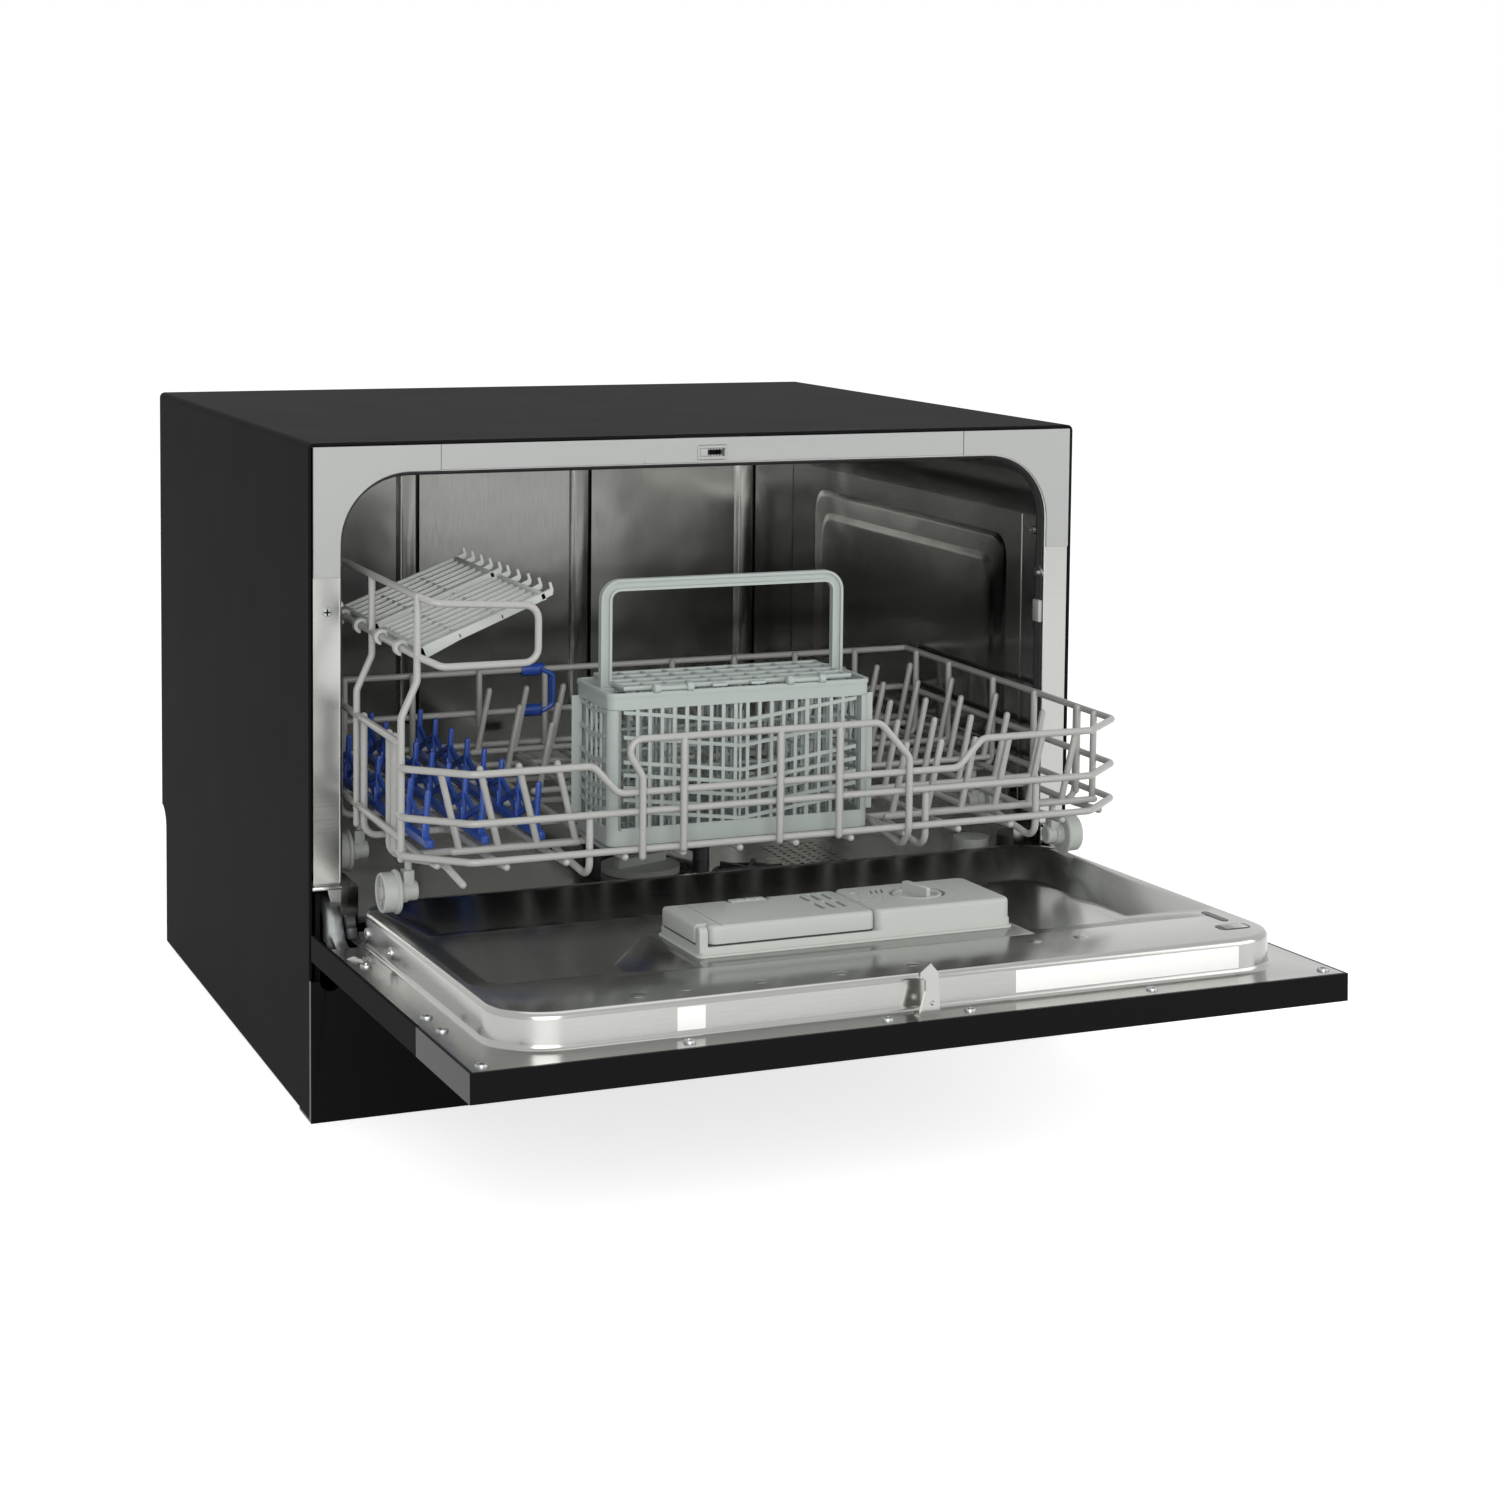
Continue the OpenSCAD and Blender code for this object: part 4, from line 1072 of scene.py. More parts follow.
class DISHWASHER_OT_dispenser(bpy.types.Operator):
    """Builds the detergent dispenser: its body, lid and rinse aid knob"""

    bl_idname = "dishwasher.dispenser"
    bl_label = "Dispenser"

    def execute(self, context):
        low_x, low_y, high_x, high_y = DISP
        gap_z = DISP_TOP - LID_DEPTH - LID_GAP
        post_y = low_y + 7
        mesh = bmesh.new()
        tile(mesh, DISP, 4, DISH_Z + 0.2, gap_z, 0.5, low_edge=0)
        knob_end = (LID_RIGHT + LID_GAP, low_y, high_x, high_y)
        tile(mesh, knob_end, 6, gap_z - 3, DISP_TOP, 2.6, low_edge=0, steps=9)
        post = [(low_y + 0.2, gap_z - 3), (post_y, gap_z - 3), (post_y, DISP_TOP - 4)]
        for degrees in range(15, 180, 15):
            a = math.radians(degrees)
            post.append((low_y + 3.6 + 3.4 * math.cos(a), DISP_TOP - 3.9 + 3.4 * math.sin(a)))
        post.append((low_y + 0.2, DISP_TOP - 4))
        slab(mesh, post, low_x, low_x + HINGE_POST, 0.5, axis="X")
        # A foot flange seals the housing to the pad.
        tile(mesh, outward(DISP, 1.5), 5, DISH_Z + 0.1, DISH_Z + 1.6, 0.6)
        housing = piece(
            "dispenser_housing", mesh, "grey", "door", ["dispenser_body"], door=True
        )
        above = DISP_TOP + 2
        cutter = bmesh.new()
        well = outward((*KNOB, *KNOB), KNOB_WELL_R)
        tile(cutter, well, KNOB_WELL_R - 0.05, DISP_TOP - 4, above, steps=12)
        drill(cutter, 3.4, 3, 18.6, -193, sides=20)
        for x, y in DOTS:
            drill(cutter, 1.5, 3, x + 2.5, y)
        for k in range(3):
            x = 31.5 + 3.6 * k
            stripe = [(x - 3.5, -197), (x - 2.1, -197), (x + 1.6, -185), (x + 0.2, -185)]
            slab(cutter, stripe, DISP_TOP - 2.5, above)
        drill(cutter, 1.2, 0.8, 77.5, -212)
        carve(housing, cutter)

        mesh = bmesh.new()
        seal = ring_outline(low_x + 0.7, low_y + 0.7, LID_RIGHT - 0.7, high_y - 3.7, 3)
        tube_wall(mesh, seal, 3, gap_z - 1, gap_z + LID_GAP - 0.1, edge=0.2)
        # The dark ring in the knob's well is painted shade in the gap round the knob; the ring
        # under the lid is the cup's seal.
        ring = KNOB_WELL_R - 0.1
        knob_gap_shade_ring = ring_outline(*outward((*KNOB, *KNOB), ring), ring - 0.05, 12)
        tube_wall(mesh, knob_gap_shade_ring, 1.7, DISP_TOP - 4.2, DISP_TOP - 2.4, edge=0.2)
        piece("cup_seal_and_knob_gap_shade", mesh, "rubber", "door", door=True)
        mesh = bmesh.new()
        bottom = DISP_TOP - LID_DEPTH
        cover = (low_x + HINGE_POST + 1, low_y, LID_RIGHT, high_y - 3)
        tile(mesh, cover, 5, bottom, DISP_TOP, 2.6, low_edge=0.4, steps=8)
        heel = (low_x, post_y + 0.8, low_x + 12, high_y - 3)
        tile(mesh, heel, 2.5, bottom, DISP_TOP, 2.6, low_edge=0.4)
        lid = piece(
            "detergent_lid_moulding", mesh, "grey", "detergent_lid", ["detergent_lid"],
            door=True,
        )
        cutter = bmesh.new()
        for box in LID_SLOTS:
            tile(cutter, box, 1.2, DISP_TOP - 7, above)
        # The latch tab sits in a recess at the back edge.
        tile(cutter, (-62, high_y - 12, -34, high_y + 4), 1.5, DISP_TOP - 2.2, above)
        # A fine groove shows where the lid's skin meets its hinge end.
        groove = [(-88.6, low_y - 2), (-88, low_y - 2), (-88, high_y), (-88.6, high_y)]
        slab(cutter, groove, DISP_TOP - 0.7, above)
        carve(lid, cutter)
        mesh = bmesh.new()
        tab = (-59.5, high_y - 10.5, -36.5, high_y - 3.2)
        tile(mesh, tab, 1.2, DISP_TOP - 3, DISP_TOP + 0.2, 0.6)
        for x in (-54, -48, -42):
            brick(mesh, (x - 0.7, high_y - 9, DISP_TOP), (x + 0.7, high_y - 5, DISP_TOP + 0.7), 0.2)
        piece("lid_latch_tab", mesh, "grey", "detergent_lid", door=True)
        # Dark sheets just under the top of the lid's slots are painted shade inside the slots.
        mesh = bmesh.new()
        for box in LID_SLOTS:
            tile(mesh, outward(box, 0.1), 1.2, DISP_TOP - 7.1, DISP_TOP - 1.6)
        piece("lid_slot_painted_shade", mesh, "dark", "detergent_lid", door=True)

        mesh = bmesh.new()
        profile = [(0.01, -5.8), (KNOB_R, -5.8), (KNOB_R, -0.8), (KNOB_R - 0.8, 0)]
        profile += [(KNOB_R - 2.2, 0), (KNOB_R - 3, -0.8), (KNOB_R - 3.2, -2.2), (0.01, -2.2)]
        lathe(mesh, [(r, DISP_TOP + z) for r, z in profile], (*KNOB, 0), sides=48)
        fin = bmesh.new()
        slab(fin, [(-12.6, -2.4), (12.6, -1.3), (12.6, 1.3), (-12.6, 2.4)], -3, 5.4, 0.8)
        turn = Matrix.Rotation(math.radians(-82), 4, "Z")
        merge(mesh, fin, Matrix.Translation((*KNOB, DISP_TOP)) @ turn)
        piece(
            "rinse_aid_dial", mesh, "grey", "rinse_aid_knob", ["rinse_aid_knob"],
            door=True,
        )
        return {"FINISHED"}


class DISHWASHER_OT_cabinet(bpy.types.Operator):
    """Finishes the casing, the plinth and what the base holds"""

    bl_idname = "dishwasher.cabinet"
    bl_label = "Cabinet"

    def execute(self, context):
        sizes = context.scene.dishwasher_sizes
        fold = sizes.sheet_fold
        dress("paint", "outer_casing", "rear_panel", "door_panel", "hinge_brackets", edge=fold)
        dress("gloss", "plinth_panel", "control_panel", edge=fold)
        dress("rubber", "feet")
        dress("trim", "front_trim", "corner_caps", edge=sizes.moulded_edge)
        dress("stainless", "front_frame", "filter_plate", "spray_arm")
        dress("tub", "tub_wrap", "tub_floor")
        dress("zinc", "door_springs", "water_heater")
        dress("stainless", "latch_hook", edge=fold)
        dress("dark", "base_tray", "sump", "filter_cup", "spray_riser", "wash_pump", "drain_pump")
        dress("dark", "latch_catch")
        dress("white", "softener_tank", "inlet_valve", "air_break")
        dress("grey", "salt_cap", "float_dome")
        dress("window", "display_window")
        dress("board", "control_board")
        dress("trim", "power_button", "program_button", "start_button", edge=sizes.moulded_edge)
        return {"FINISHED"}


ARM = (  # the upper edge of a hinge arm: y, z and the depth of its side
    (24, 145.2, 8.5), (16, 145.6, 8.5), (7, 144.2, 8.5), (1, 142.8, 9), (-6, 140.2, 21),
    (-14, 136, 24), (-19, 130.3, 20), (-22.6, 124.5, 13), (-29, 121.8, 8), (-40, 120.8, 6),
)
ARM_X = (257.6, 266)
COVER_PLATE = (
    (-254.7, 121), (-254.7, 151.2), (-262.5, 151.2), (-261.6, 147), (-259.2, 139), (-257, 130)
)


class DISHWASHER_OT_hinges(bpy.types.Operator):
    """Builds the curved hinge arms of the door and the plates beside them"""

    bl_idname = "dishwasher.hinges"
    bl_label = "Hinges"

    def execute(self, context):
        mesh = bmesh.new()
        near, far = ARM_X
        for side in (-1, 1):
            rings = []
            for k, (y, z, depth) in enumerate(ARM):
                before, after = ARM[max(k - 1, 0)], ARM[min(k + 1, len(ARM) - 1)]
                along = Vector((0, before[0] - after[0], before[1] - after[1])).normalized()
                inwards = Vector((0, along.z, -along.y))
                profile = (
                    (near, 1.6), (near, 0.4), (near + 0.6, 0), (far - 1.6, 0), (far - 0.5, 0.5),
                    (far, 1.6), (far, depth), (far - 1.4, depth), (far - 1.4, 1.6),
                )
                rings.append([Vector((side * x, y, z)) + inwards * n for x, n in profile])
            loft(mesh, rings)
            low, high = on_side(side, 259, 265)
            brick(mesh, (low, -92, 113), (high, -30, 121), 0.6)
            disc = [(3.2, low), (3.9, low + 0.6), (3.9, high - 0.6), (3.2, high)]
            lathe(mesh, disc, (0, DOOR_PIVOT.y, DOOR_PIVOT.z), "X")
        piece("hinge_arm_pressings", mesh, "zinc", "door", ["hinge_arms"], sharp=40)
        mesh = bmesh.new()
        for side in (-1, 1):
            outline = [(x * -side, z) for x, z in COVER_PLATE]
            slab(mesh, outline if side > 0 else outline[::-1], 1.6, 3, 0.3, axis="Y")
            low, high = on_side(side, 254.6, 273.4)
            brick(mesh, (low, -1.8, 151.3), (high, 3, 153.7), 0.6)
        piece("hinge_cover_plates", mesh, "stainless", "cabinet")
        mesh = bmesh.new()
        for side in (-1, 1):
            low, high = on_side(side, 250.4, 256.4)
            brick(mesh, (low, -25, FLANGE_Z), (high, -11, 131.6), 1.2)
            roller = [(0.01, low), (4.6, low), (5, low + 0.5)]
            roller += [(5, high - 0.5), (4.6, high), (0.01, high)]
            lathe(mesh, roller, (0, -17, 133.2), "X", sides=20)
        piece("hinge_bumpers", mesh, "dark", "door", door=True)
        return {"FINISHED"}


# ---------- tub ----------

TUB_HALF, TUB_TOP, TUB_CORNER = 254.5, 418.5, 46
TUB_FOOT = 155  # where the uprights of the mouth start
SHEET = 0.8
TUB_BACK_Y = span("tub_back")[1].y - SHEET
REAR_SCREW_Y = span("casing_screws")[1].y - 1.6
LATCH_Z = 425.5
CHANNELS_X = (-231, -84, 63, 210)
CHANNEL = (  # half width, foot and top of a channel's rings, and their place along Y
    (10, 168, 405, 0.1), (9, 169, 404, -0.4), (6.5, 172, 401, -2), (5.5, 173, 400, -2.2)
)
SIDE_PANEL = (  # how far the rings of a side panel are inside its edge, and how deep
    (0, -0.1), (1, 0.3), (3.5, 1.3), (4.5, 1.5), (16, 1.5), (17, 1.7), (20, 2.8), (21.5, 3.0)
)
SEAM_Z = (158, 372)
SEAM = ((36.6, -0.1), (37.2, 0.6), (38.8, 0.6), (39.4, -0.1))
SEAL_LIP = (
    (-0.1, 5.2), (1.2, 5.0), (1.7, 5.6), (1.5, 7.2), (2.5, 8.8), (3.0, 10.2), (2.5, 11.6),
    (1.4, 12.4), (1.1, 14.8), (-0.1, 15),
)
SEAL_FOOT = (
    (16.2, 119.5), (20, 119.5), (20, 126.4), (19.4, 127), (18.8, 126.4), (18.4, 124.8),
    (17.2, 124.4), (16.2, 125.6),
)
ESCUTCHEON = (  # how far the rings of the latch's surround are inside its edge, and their y
    (0, 9), (0, 1.9), (0.5, 1.4), (1.6, 1.4), (2.1, 1.9), (2.1, 9), (0, 9)
)
NUT = ((6.2, 0), (6.2, 1.6), (5.6, 2), (0.01, 2))  # radius and height over the wall
STUD_END = ((2.4, 1.5), (2.4, 3.2), (1.8, 3.7), (0.01, 3.7))


class DISHWASHER_OT_tub(bpy.types.Operator):
    """Builds the tub's back, its pressed side panels, the seal and the fittings round the mouth"""

    bl_idname = "dishwasher.tub"
    bl_label = "Tub and mouth"

    def execute(self, context):
        mesh = bmesh.new()
        outer = TUB_HALF + SHEET
        line = arch(-outer, outer, 100, TUB_TOP + SHEET, TUB_CORNER)
        sheet = [(x, z) for x, z, _, _ in line[::-1]]
        slab(mesh, sheet, TUB_BACK_Y, TUB_BACK_Y + SHEET, axis="Y")
        for middle in CHANNELS_X:
            rings = []
            for half, low, high, y in CHANNEL:
                outline = ring_outline(middle - half, low, middle + half, high, half * 0.8)
                rings.append([Vector((x, TUB_BACK_Y + y, z)) for x, z in outline])
            loft(mesh, rings)
        piece("tub_back_pressing", mesh, "tub", "cabinet", ["tub_back"])

        mesh = bmesh.new()
        for side in (-1, 1):
            rings = []
            for step, depth in SIDE_PANEL:
                low, high = 185 + step * 0.9, 355 - step * 1.1
                outline = ring_outline(60 + step, low, 400 - step, high, 18)
                rings.append([Vector((side * (TUB_HALF - depth), y, z)) for y, z in outline])
            loft(mesh, rings, first=False)
            loft(mesh, [
                [Vector((side * (TUB_HALF - depth), y, z)) for y, depth in SEAM] for z in SEAM_Z
            ])
        piece("tub_side_pressings", mesh, "tub", "cabinet", sharp=40)

        mesh = bmesh.new()
        inner = TUB_HALF - 0.2
        border(mesh, arch(-inner, inner, TUB_FOOT, TUB_TOP - 0.2, TUB_CORNER), SEAL_LIP)
        slab(mesh, SEAL_FOOT, -238, 238, 0.4, axis="X")
        piece("door_seal", mesh, "rubber", "cabinet", ["door_gasket"], sharp=50)

        turns = [2 * math.pi * k / 10 for k in range(10)]
        mesh = bmesh.new()
        line = arch(-TUB_HALF, TUB_HALF, TUB_FOOT, TUB_TOP, TUB_CORNER, 12)
        border(mesh, line, [(-0.2 + 1.2 * math.cos(a), 4.1 + 1.2 * math.sin(a)) for a in turns])
        piece("mouth_rolled_edge", mesh, "stainless", "cabinet", sharp=60)

        mesh = bmesh.new()
        outline = ring_outline(-11, LATCH_Z - 4.8, 11, LATCH_Z + 4.8, 1.6)
        rings = [[Vector((x, y, z)) for x, z in inset(outline, shift)] for shift, y in ESCUTCHEON]
        loft(mesh, rings, first=False, last=False)
        brick(mesh, (-8.8, 1.7, LATCH_Z - 2.7), (-3.2, 9, LATCH_Z + 2.7), 0.6)
        piece("latch_escutcheon", mesh, "trim", "cabinet")
        mesh = bmesh.new()
        for x in (-2.2, 0, 2.2, 4.4, 6.6):
            for way in (-1, 1):
                # The bars are split, so that the hook of the door passes between them.
                low, high = sorted((LATCH_Z + way * 1.7, LATCH_Z + way * 3.4))
                brick(mesh, (x - 0.6, 2.4, low), (x + 0.6, 7, high), 0.15)
        piece("latch_grille", mesh, "trim", "cabinet")
        mesh = bmesh.new()
        mark = [(-49, 419.4), (-45, 419.4), (-46.2, 421.6), (-47.8, 421.6)]
        slab(mesh, mark, 1.2, 2.2, 0.2, axis="Y")
        piece("trim_mark", mesh, "trim", "cabinet")

        mesh = bmesh.new()
        for x in (-255, 255):
            for z in (130, 280, 420):
                screw(mesh, (x, REAR_SCREW_Y, z), "Y", radius=4)
        screw(mesh, (-263, 3.0, 330), "Y", way=-1, radius=3)
        piece("casing_screw_heads", mesh, "zinc", "cabinet", ["casing_screws"])
        mesh = bmesh.new()
        for side in (-1, 1):
            screw(mesh, (side * TUB_HALF, 21, 362), "X", way=-side, radius=3)
            for profile, sides in ((NUT, 6), (STUD_END, 20)):
                turned = [(r, side * (TUB_HALF - height)) for r, height in profile]
                lathe(mesh, turned, (0, 9.5, 333), "X", sides=sides)
        piece("mouth_screws", mesh, "zinc", "cabinet")
        mesh = bmesh.new()
        brick(mesh, (TUB_HALF - 3.8, 4.5, 298), (TUB_HALF - 0.2, 14, 314), 1.2)
        for side in (-1, 1):
            low, high = on_side(side, 255, 271.5)
            brick(mesh, (low, 3.2, 151), (high, 20, 153.9), 0.5)
        piece("mouth_stops", mesh, "trim", "cabinet")
        return {"FINISHED"}


# ---------- cutlery basket ----------

CUT = (-118, -125, 59, -61)  # the cutlery basket's x, y, x, y
CUT_Z = (194.5, 290)
CUT_OPEN_Z = (205.4, 279.5)  # foot and top of its grilles
CUT_WALL = 2.4
CUT_FRAME = 10.5
HINGE_AT = (-124.5, 291.8)
CLIPS_X = (-76, 14)
CUT_PITCH_X, CUT_PITCH_Y = 8.05, 8  # from one upright to the next
DIVIDERS_X = (-76, -31, 14)
CUT_LEVELS = [CUT_Z[0] + 14 + 13.2 * k for k in range(6)]
DIVIDER_Y = -94
RIBS = (  # how far the ends and the middle of each dipping rib are below the top
    (12, 22), (27.5, 37.6), (43, 53), (51, 60.7), (59, 69), (66.5, 76.4), (73.5, 83.6)
)
FULL_DIP = 150  # the ribs of a shorter wall dip less
HANDLE = ((0, -95), (1.7, -95), (1.7, -93.4), (5.6, -93.4), (5.6, -95), (7.3, -95))
LID_BARS = ((-118.5, 1.5), (-105.5, 1.4), (-91.5, 2.4), (-77.5, 1.4), (-64.6, 1.5))  # y, half width


class DISHWASHER_OT_cutlery_basket(bpy.types.Operator):
    """Builds the cutlery basket with its grilles, handle and folding lid"""

    bl_idname = "dishwasher.cutlery_basket"
    bl_label = "Cutlery basket"

    def execute(self, context):
        low_x, low_y, high_x, high_y = CUT
        low, high = CUT_Z
        open_low, open_high = CUT_OPEN_Z
        mesh = bmesh.new()
        outline = ring_outline(*CUT, 6)
        tube_wall(mesh, outline, CUT_WALL, low, open_low)
        tube_wall(mesh, outline, CUT_WALL, open_high, high)
        tube_wall(mesh, inset(outline, -0.7), 1.2, high - 2.6, high)
        inner = inset(outline, CUT_WALL)
        steps = len(outline) // 4
        ways = ((0, -1), (1, 0), (0, 1), (-1, 0))
        for corner in range(4):
            arc = range(corner * steps, (corner + 1) * steps)
            before, after = ways[corner - 1], ways[corner]
            reach = CUT_FRAME - 6
            turned = ((arc[0], before[1], -before[0]), (arc[-1], -after[1], after[0]))
            starts, ends = [
                [(line[k][0] + x * reach, line[k][1] + y * reach) for line in (outline, inner)]
                for k, x, y in turned
            ]
            post = [starts[0]] + [outline[k] for k in arc] + ends
            post += [inner[k] for k in arc[::-1]] + [starts[1]]
            slab(mesh, post, open_low - 0.5, open_high + 0.5)

        def grille(at, start, end, along):
            """Uprights and dipping ribs between two ends of one wall, which runs along X or Y."""

            def spot(u, v, z):
                """A point from its place along the wall and across it."""
                return (u, v, z) if along == "X" else (v, u, z)

            count = round((end - start) / CUT_PITCH_X)
            for k in range(1, count):
                u = start + (end - start) * k / count
                low_corner = spot(u - 1.2, at - 0.75, open_low - 1)
                brick(mesh, low_corner, spot(u + 1.2, at + 0.75, open_high + 1), 0.3)
            for ends, middle in RIBS:
                dip = ends + (middle - ends) * min(1, (end - start) / FULL_DIP)
                line = [(start - 1, ends), ((start + end) / 2, dip), (end + 1, ends)]
                bar(mesh, [spot(u, at, high - z) for u, z in line], spot(0, 1, 0), 1.05, 1.15)

        for y in (low_y + CUT_WALL / 2, high_y - CUT_WALL / 2):
            grille(y, low_x + CUT_FRAME, high_x - CUT_FRAME, "X")
        for x in (low_x + CUT_WALL / 2, high_x - CUT_WALL / 2):
            grille(x, low_y + CUT_FRAME, high_y - CUT_FRAME, "Y")
        columns = [low_x + CUT_PITCH_X * k for k in range(1, 22)]
        rows = [low_y + CUT_PITCH_Y * k for k in range(1, 8)]
        for x in DIVIDERS_X:
            for y in [low_y + 1.6] + rows + [high_y - 3.4]:
                brick(mesh, (x, y - 0.9, low + 1), (x + 1.6, y + 0.9, high - 5), 0.3)
            for z in CUT_LEVELS:
                brick(mesh, (x + 0.1, low_y + 1.5, z - 1), (x + 1.5, high_y - 1.5, z + 1), 0.3)
        back = DIVIDER_Y + 1.6
        for x in columns:
            brick(mesh, (x - 0.9, DIVIDER_Y, low + 1), (x + 0.9, back, high - 5), 0.3)
        for z in CUT_LEVELS:
            left_end = (low_x + 1.5, DIVIDER_Y + 0.1, z - 1)
            brick(mesh, left_end, (high_x - 1.5, back - 0.1, z + 1), 0.3)
        for x in columns:
            brick(mesh, (x - 1, low_y + 1.5, low + 0.2), (x + 1, high_y - 1.5, low + 2.2), 0.3)
        for y in rows:
            brick(mesh, (low_x + 1.5, y - 1, low + 0.3), (high_x - 1.5, y + 1, low + 2.4), 0.3)
        hinge_y, hinge_z = HINGE_AT
        for x in CLIPS_X:
            for end in (-13, 9):
                near, far = x + end, x + end + 4
                eye = [(1.75, near), (3, near), (3, far), (1.75, far), (1.75, near)]
                lathe(mesh, eye, (0, hinge_y, hinge_z), "X", sides=20)
                corner = (far, hinge_y + 2.6, high + 0.6)
                brick(mesh, (near, hinge_y - 0.4, high - 3), corner, 0.4)
        strip = [*HANDLE, *((n, -185 - y) for n, y in HANDLE[::-1])]
        border(mesh, arch(low_x + 5, high_x - 6, high - 9, 356.5, 13), strip)
        for x in (low_x + 8.6, high_x - 9.6):
            brick(mesh, (x - 5.2, -96.5, high - 12), (x + 5.2, -88.5, high - 1), 0.8)
        piece(
            "cutlery_basket_moulding", mesh, "cutlery", "cutlery_basket", ["cutlery_basket"],
        )

        mesh = bmesh.new()
        lid_z = high + 0.4
        left, right = low_x + 11, high_x - 11
        for k in range(11):
            x = left + 1.5 + (right - left - 3) * k / 10
            corner = (x + 1.4, high_y - 2.2, lid_z + 2.5)
            brick(mesh, (x - 1.4, low_y + 5.2, lid_z + 0.1), corner, 0.45)
        for y, half in LID_BARS:
            brick(mesh, (left, y - half, lid_z), (right, y + half, lid_z + 2.8), 0.6)
        for x in CLIPS_X:
            near, far = x - 13.5, x + 13.5
            pin = [(0.01, near), (1.6, near), (1.6, far), (0.01, far)]
            lathe(mesh, pin, (0, *HINGE_AT), "X", sides=14)
            brick(mesh, (x - 8.5, hinge_y - 1, lid_z), (x + 8.5, low_y + 6, lid_z + 2.4), 0.5)
        for x in (-44, -18):
            brick(mesh, (x - 5, low_y + 1.2, lid_z + 0.2), (x + 5, low_y + 5.6, lid_z + 2.2), 0.5)
        piece(
            "cutlery_lid_lattice", mesh, "cutlery", "cutlery_lid", ["cutlery_lid"]
        )
        return {"FINISHED"}


# ---------- cup shelves ----------

SHELF_TILT = 21
SHELF_LEN = 97
SHELF_SIDE = ((4, -5.6), (30, -3.4), (84, -2.4), (95, -1.2), (95, 2.5), (4, 2.5))
SHELF_BARS = (  # place from the rail, foot, top and width
    (4, -4.5, 2.2, 3), (30, -2.4, 0.6, 1.6), (59, -2.4, 0.6, 1.6), (87, -2.4, 2.2, 3)
)
STEM_HOOK = (
    (87, -1), (SHELF_LEN - 2, -0.8), (SHELF_LEN - 0.6, 1), (SHELF_LEN - 0.4, 6.2),
    (SHELF_LEN - 2, 6.4), (SHELF_LEN - 2.4, 2.8), (88, 2.2),
)
CLIP_RADII = (5, 2.5)
CLIP_SLEEVE = (  # radius and x of the clip on the back of the basket
    (2.4, -67), (4.3, -67), (4.6, -66), (4.6, -51), (4.3, -50), (2.4, -50), (2.4, -67)
)


def cup_shelf(name, near, far, clips):
    """A slatted shelf between two places along its rail, with hooks for the stems of glasses."""
    mesh = bmesh.new()
    for y in (near, far - 2):
        slab(mesh, SHELF_SIDE, y, y + 2, 0.4, axis="Y")
    count = round((far - near - 4) / 12.6)
    for k in range(count):
        y = near + 2 + (far - near - 4) * (k + 0.5) / count
        brick(mesh, (5, y - 1.6, -1.2), (90, y + 1.6, 1.4), 0.4)
    for u, low, high, thick in SHELF_BARS:
        brick(mesh, (u, near, low), (u + thick, far, high), 0.4)
    teeth = round((far - near - 6) / 19)
    for k in range(teeth + 1):
        y = near + 1 + (far - near - 4) * k / teeth
        slab(mesh, STEM_HOOK, y, y + 2, 0.4, axis="Y")
    for k in range(int((far - near) / 11)):
        y = near + 5 + 11 * k
        brick(mesh, (5.5, y, -6.4), (8.5, y + 3, -2), 0.5)
    turns = [math.radians(a) for a in range(-60, 241, 20)]
    ring = []
    for radius, line in zip(CLIP_RADII, (turns, turns[::-1])):
        ring += [(radius * math.cos(a), radius * math.sin(a)) for a in line]
    for y in clips:
        slab(mesh, ring, y - 3.2, y + 3.2, 0.3, axis="Y")
        brick(mesh, (3.4, y - 3, -2.2), (8, y + 3, 2.4), 0.5)
    tilt = Matrix.Rotation(math.radians(-SHELF_TILT), 4, "Y")
    mesh.transform(Matrix.Translation((RAIL_X, 0, RAIL_Z)) @ tilt)
    piece(name + "_moulding", mesh, "grey", name, [name])


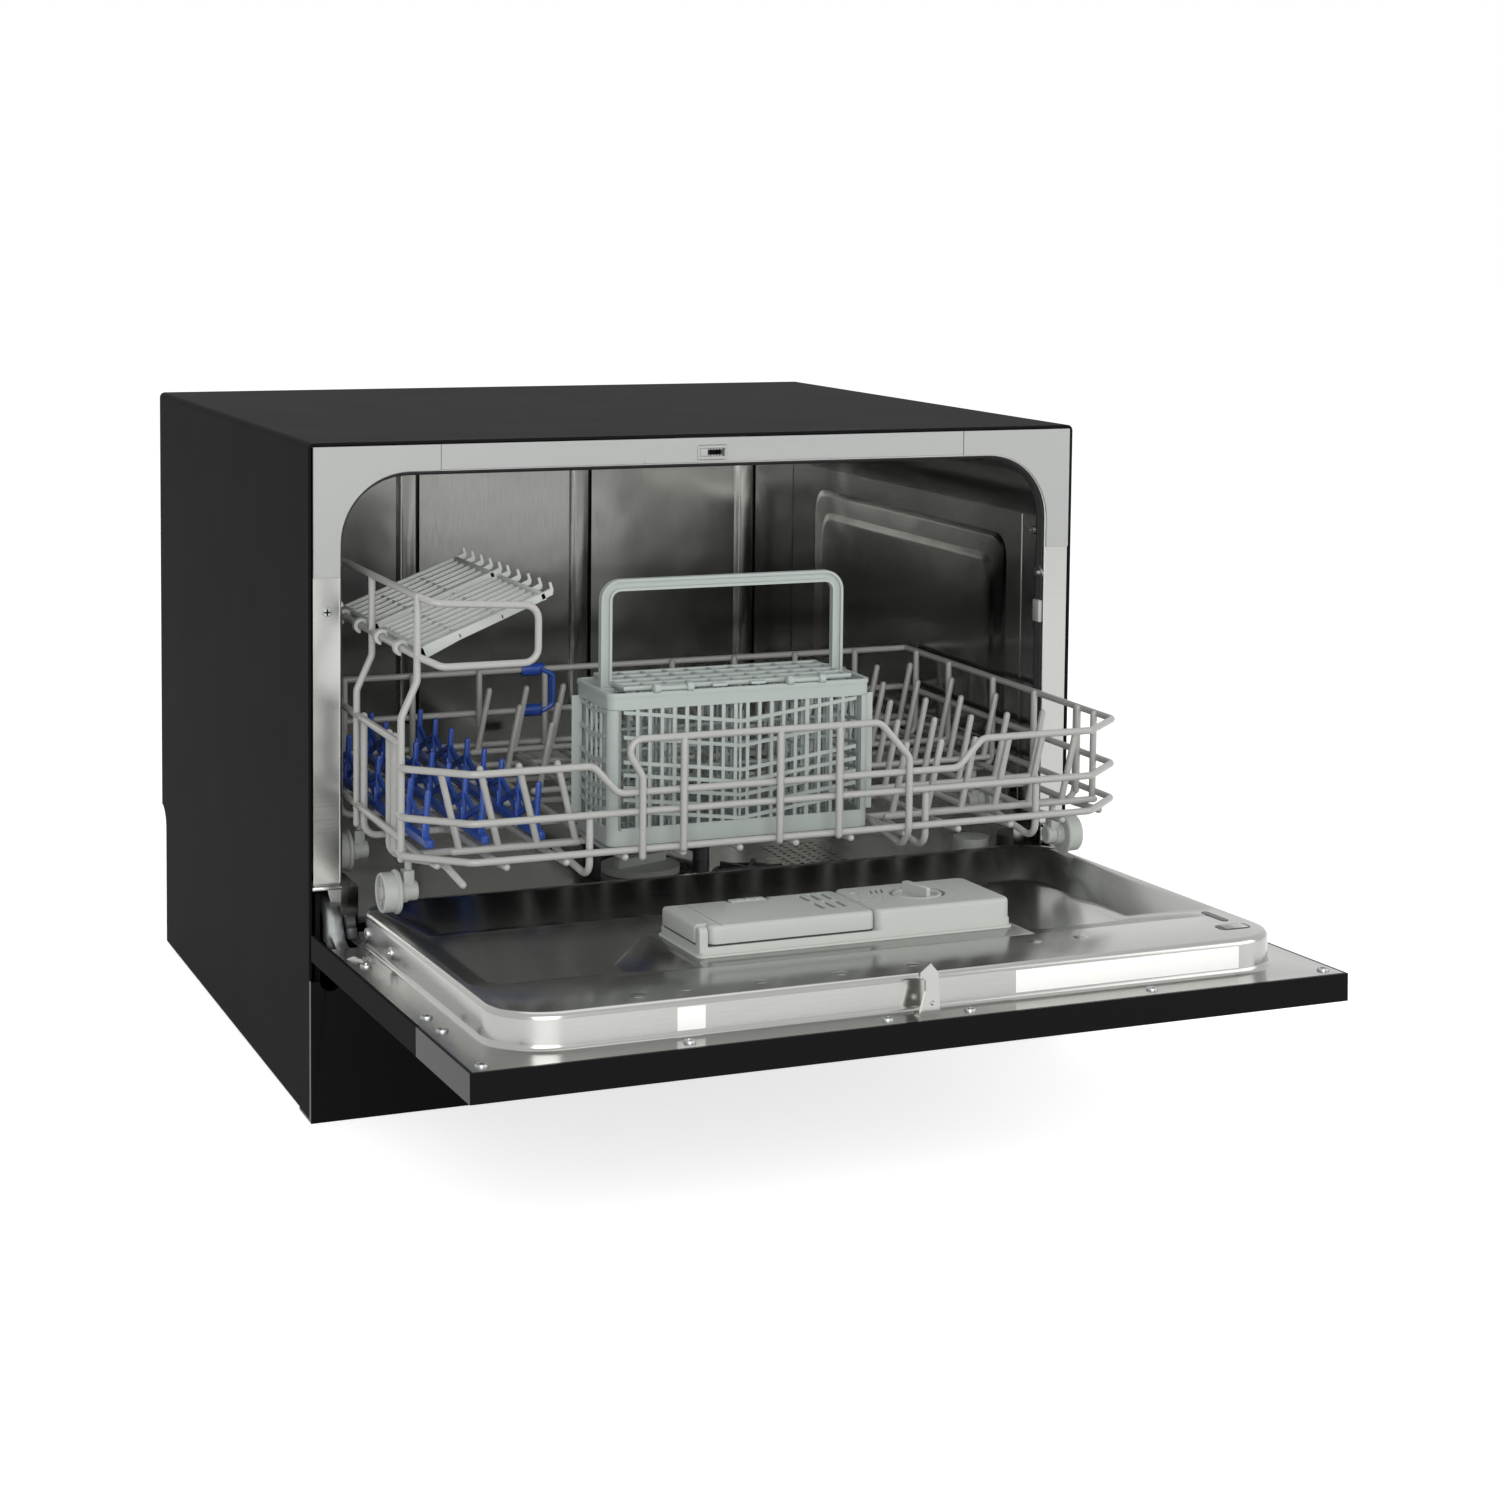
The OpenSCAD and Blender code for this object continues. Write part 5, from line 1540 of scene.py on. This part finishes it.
class DISHWASHER_OT_cup_shelves(bpy.types.Operator):
    """Builds the two folding cup shelves and the blue clips on the back of the basket"""

    bl_idname = "dishwasher.cup_shelves"
    bl_label = "Cup shelves"

    def execute(self, context):
        cup_shelf("cup_shelf_front", -99, -9, (-70, -24))
        cup_shelf("cup_shelf_rear", 5, 88, (26, 68))
        mesh = bmesh.new()
        for z in (TOP_Z, MID_Z):
            lathe(mesh, CLIP_SLEEVE, (0, BACK_Y, z), "X", sides=20)
        for y in (BACK_Y - 5, BACK_Y + 5):
            link = ((-52, TOP_Z), (-44, TOP_Z - 4), (-44, MID_Z + 4), (-52, MID_Z))
            sweep(mesh, [(x, y, z) for x, z in link], 1.8, 4)
        piece("blue_wire_clip", mesh, "blue", "basket")
        return {"FINISHED"}


class DISHWASHER_PT_panel(bpy.types.Panel):
    """Lists the sizes, the colours and the pieces"""

    bl_idname = "DISHWASHER_PT_panel"
    bl_label = "Dishwasher"
    bl_space_type = "VIEW_3D"
    bl_region_type = "UI"
    bl_category = "Dishwasher"

    def draw(self, context):
        for group in (context.scene.dishwasher_sizes, context.scene.dishwasher_colours):
            column = self.layout.column(align=True)
            for name in group.__annotations__:
                column.prop(group, name)
        for operator in OPERATORS:
            self.layout.operator(operator.bl_idname)


OPERATORS = (
    DISHWASHER_OT_stage,
    DISHWASHER_OT_cabinet,
    DISHWASHER_OT_hinges,
    DISHWASHER_OT_tub,
    DISHWASHER_OT_door_liner,
    DISHWASHER_OT_door_fittings,
    DISHWASHER_OT_dispenser,
    DISHWASHER_OT_basket_wires,
    DISHWASHER_OT_tines,
    DISHWASHER_OT_shelf_wires,
    DISHWASHER_OT_cup_shelves,
    DISHWASHER_OT_cutlery_basket,
    DISHWASHER_OT_wheels,
)
CLASSES = (DishwasherSizes, DishwasherColours, *OPERATORS, DISHWASHER_PT_panel)


def register():
    """Adds the classes and the scene's settings."""
    for cls in CLASSES:
        bpy.utils.register_class(cls)
    bpy.types.Scene.dishwasher_sizes = bpy.props.PointerProperty(type=DishwasherSizes)
    bpy.types.Scene.dishwasher_colours = bpy.props.PointerProperty(type=DishwasherColours)


def unregister():
    """Takes them away again."""
    del bpy.types.Scene.dishwasher_colours
    del bpy.types.Scene.dishwasher_sizes
    for cls in reversed(CLASSES):
        bpy.utils.unregister_class(cls)


def main():
    """Builds every piece."""
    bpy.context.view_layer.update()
    register()
    make_materials()
    for operator in OPERATORS:
        getattr(bpy.ops.dishwasher, operator.bl_idname.split(".")[1])()


if __name__ == "__main__":
    main()
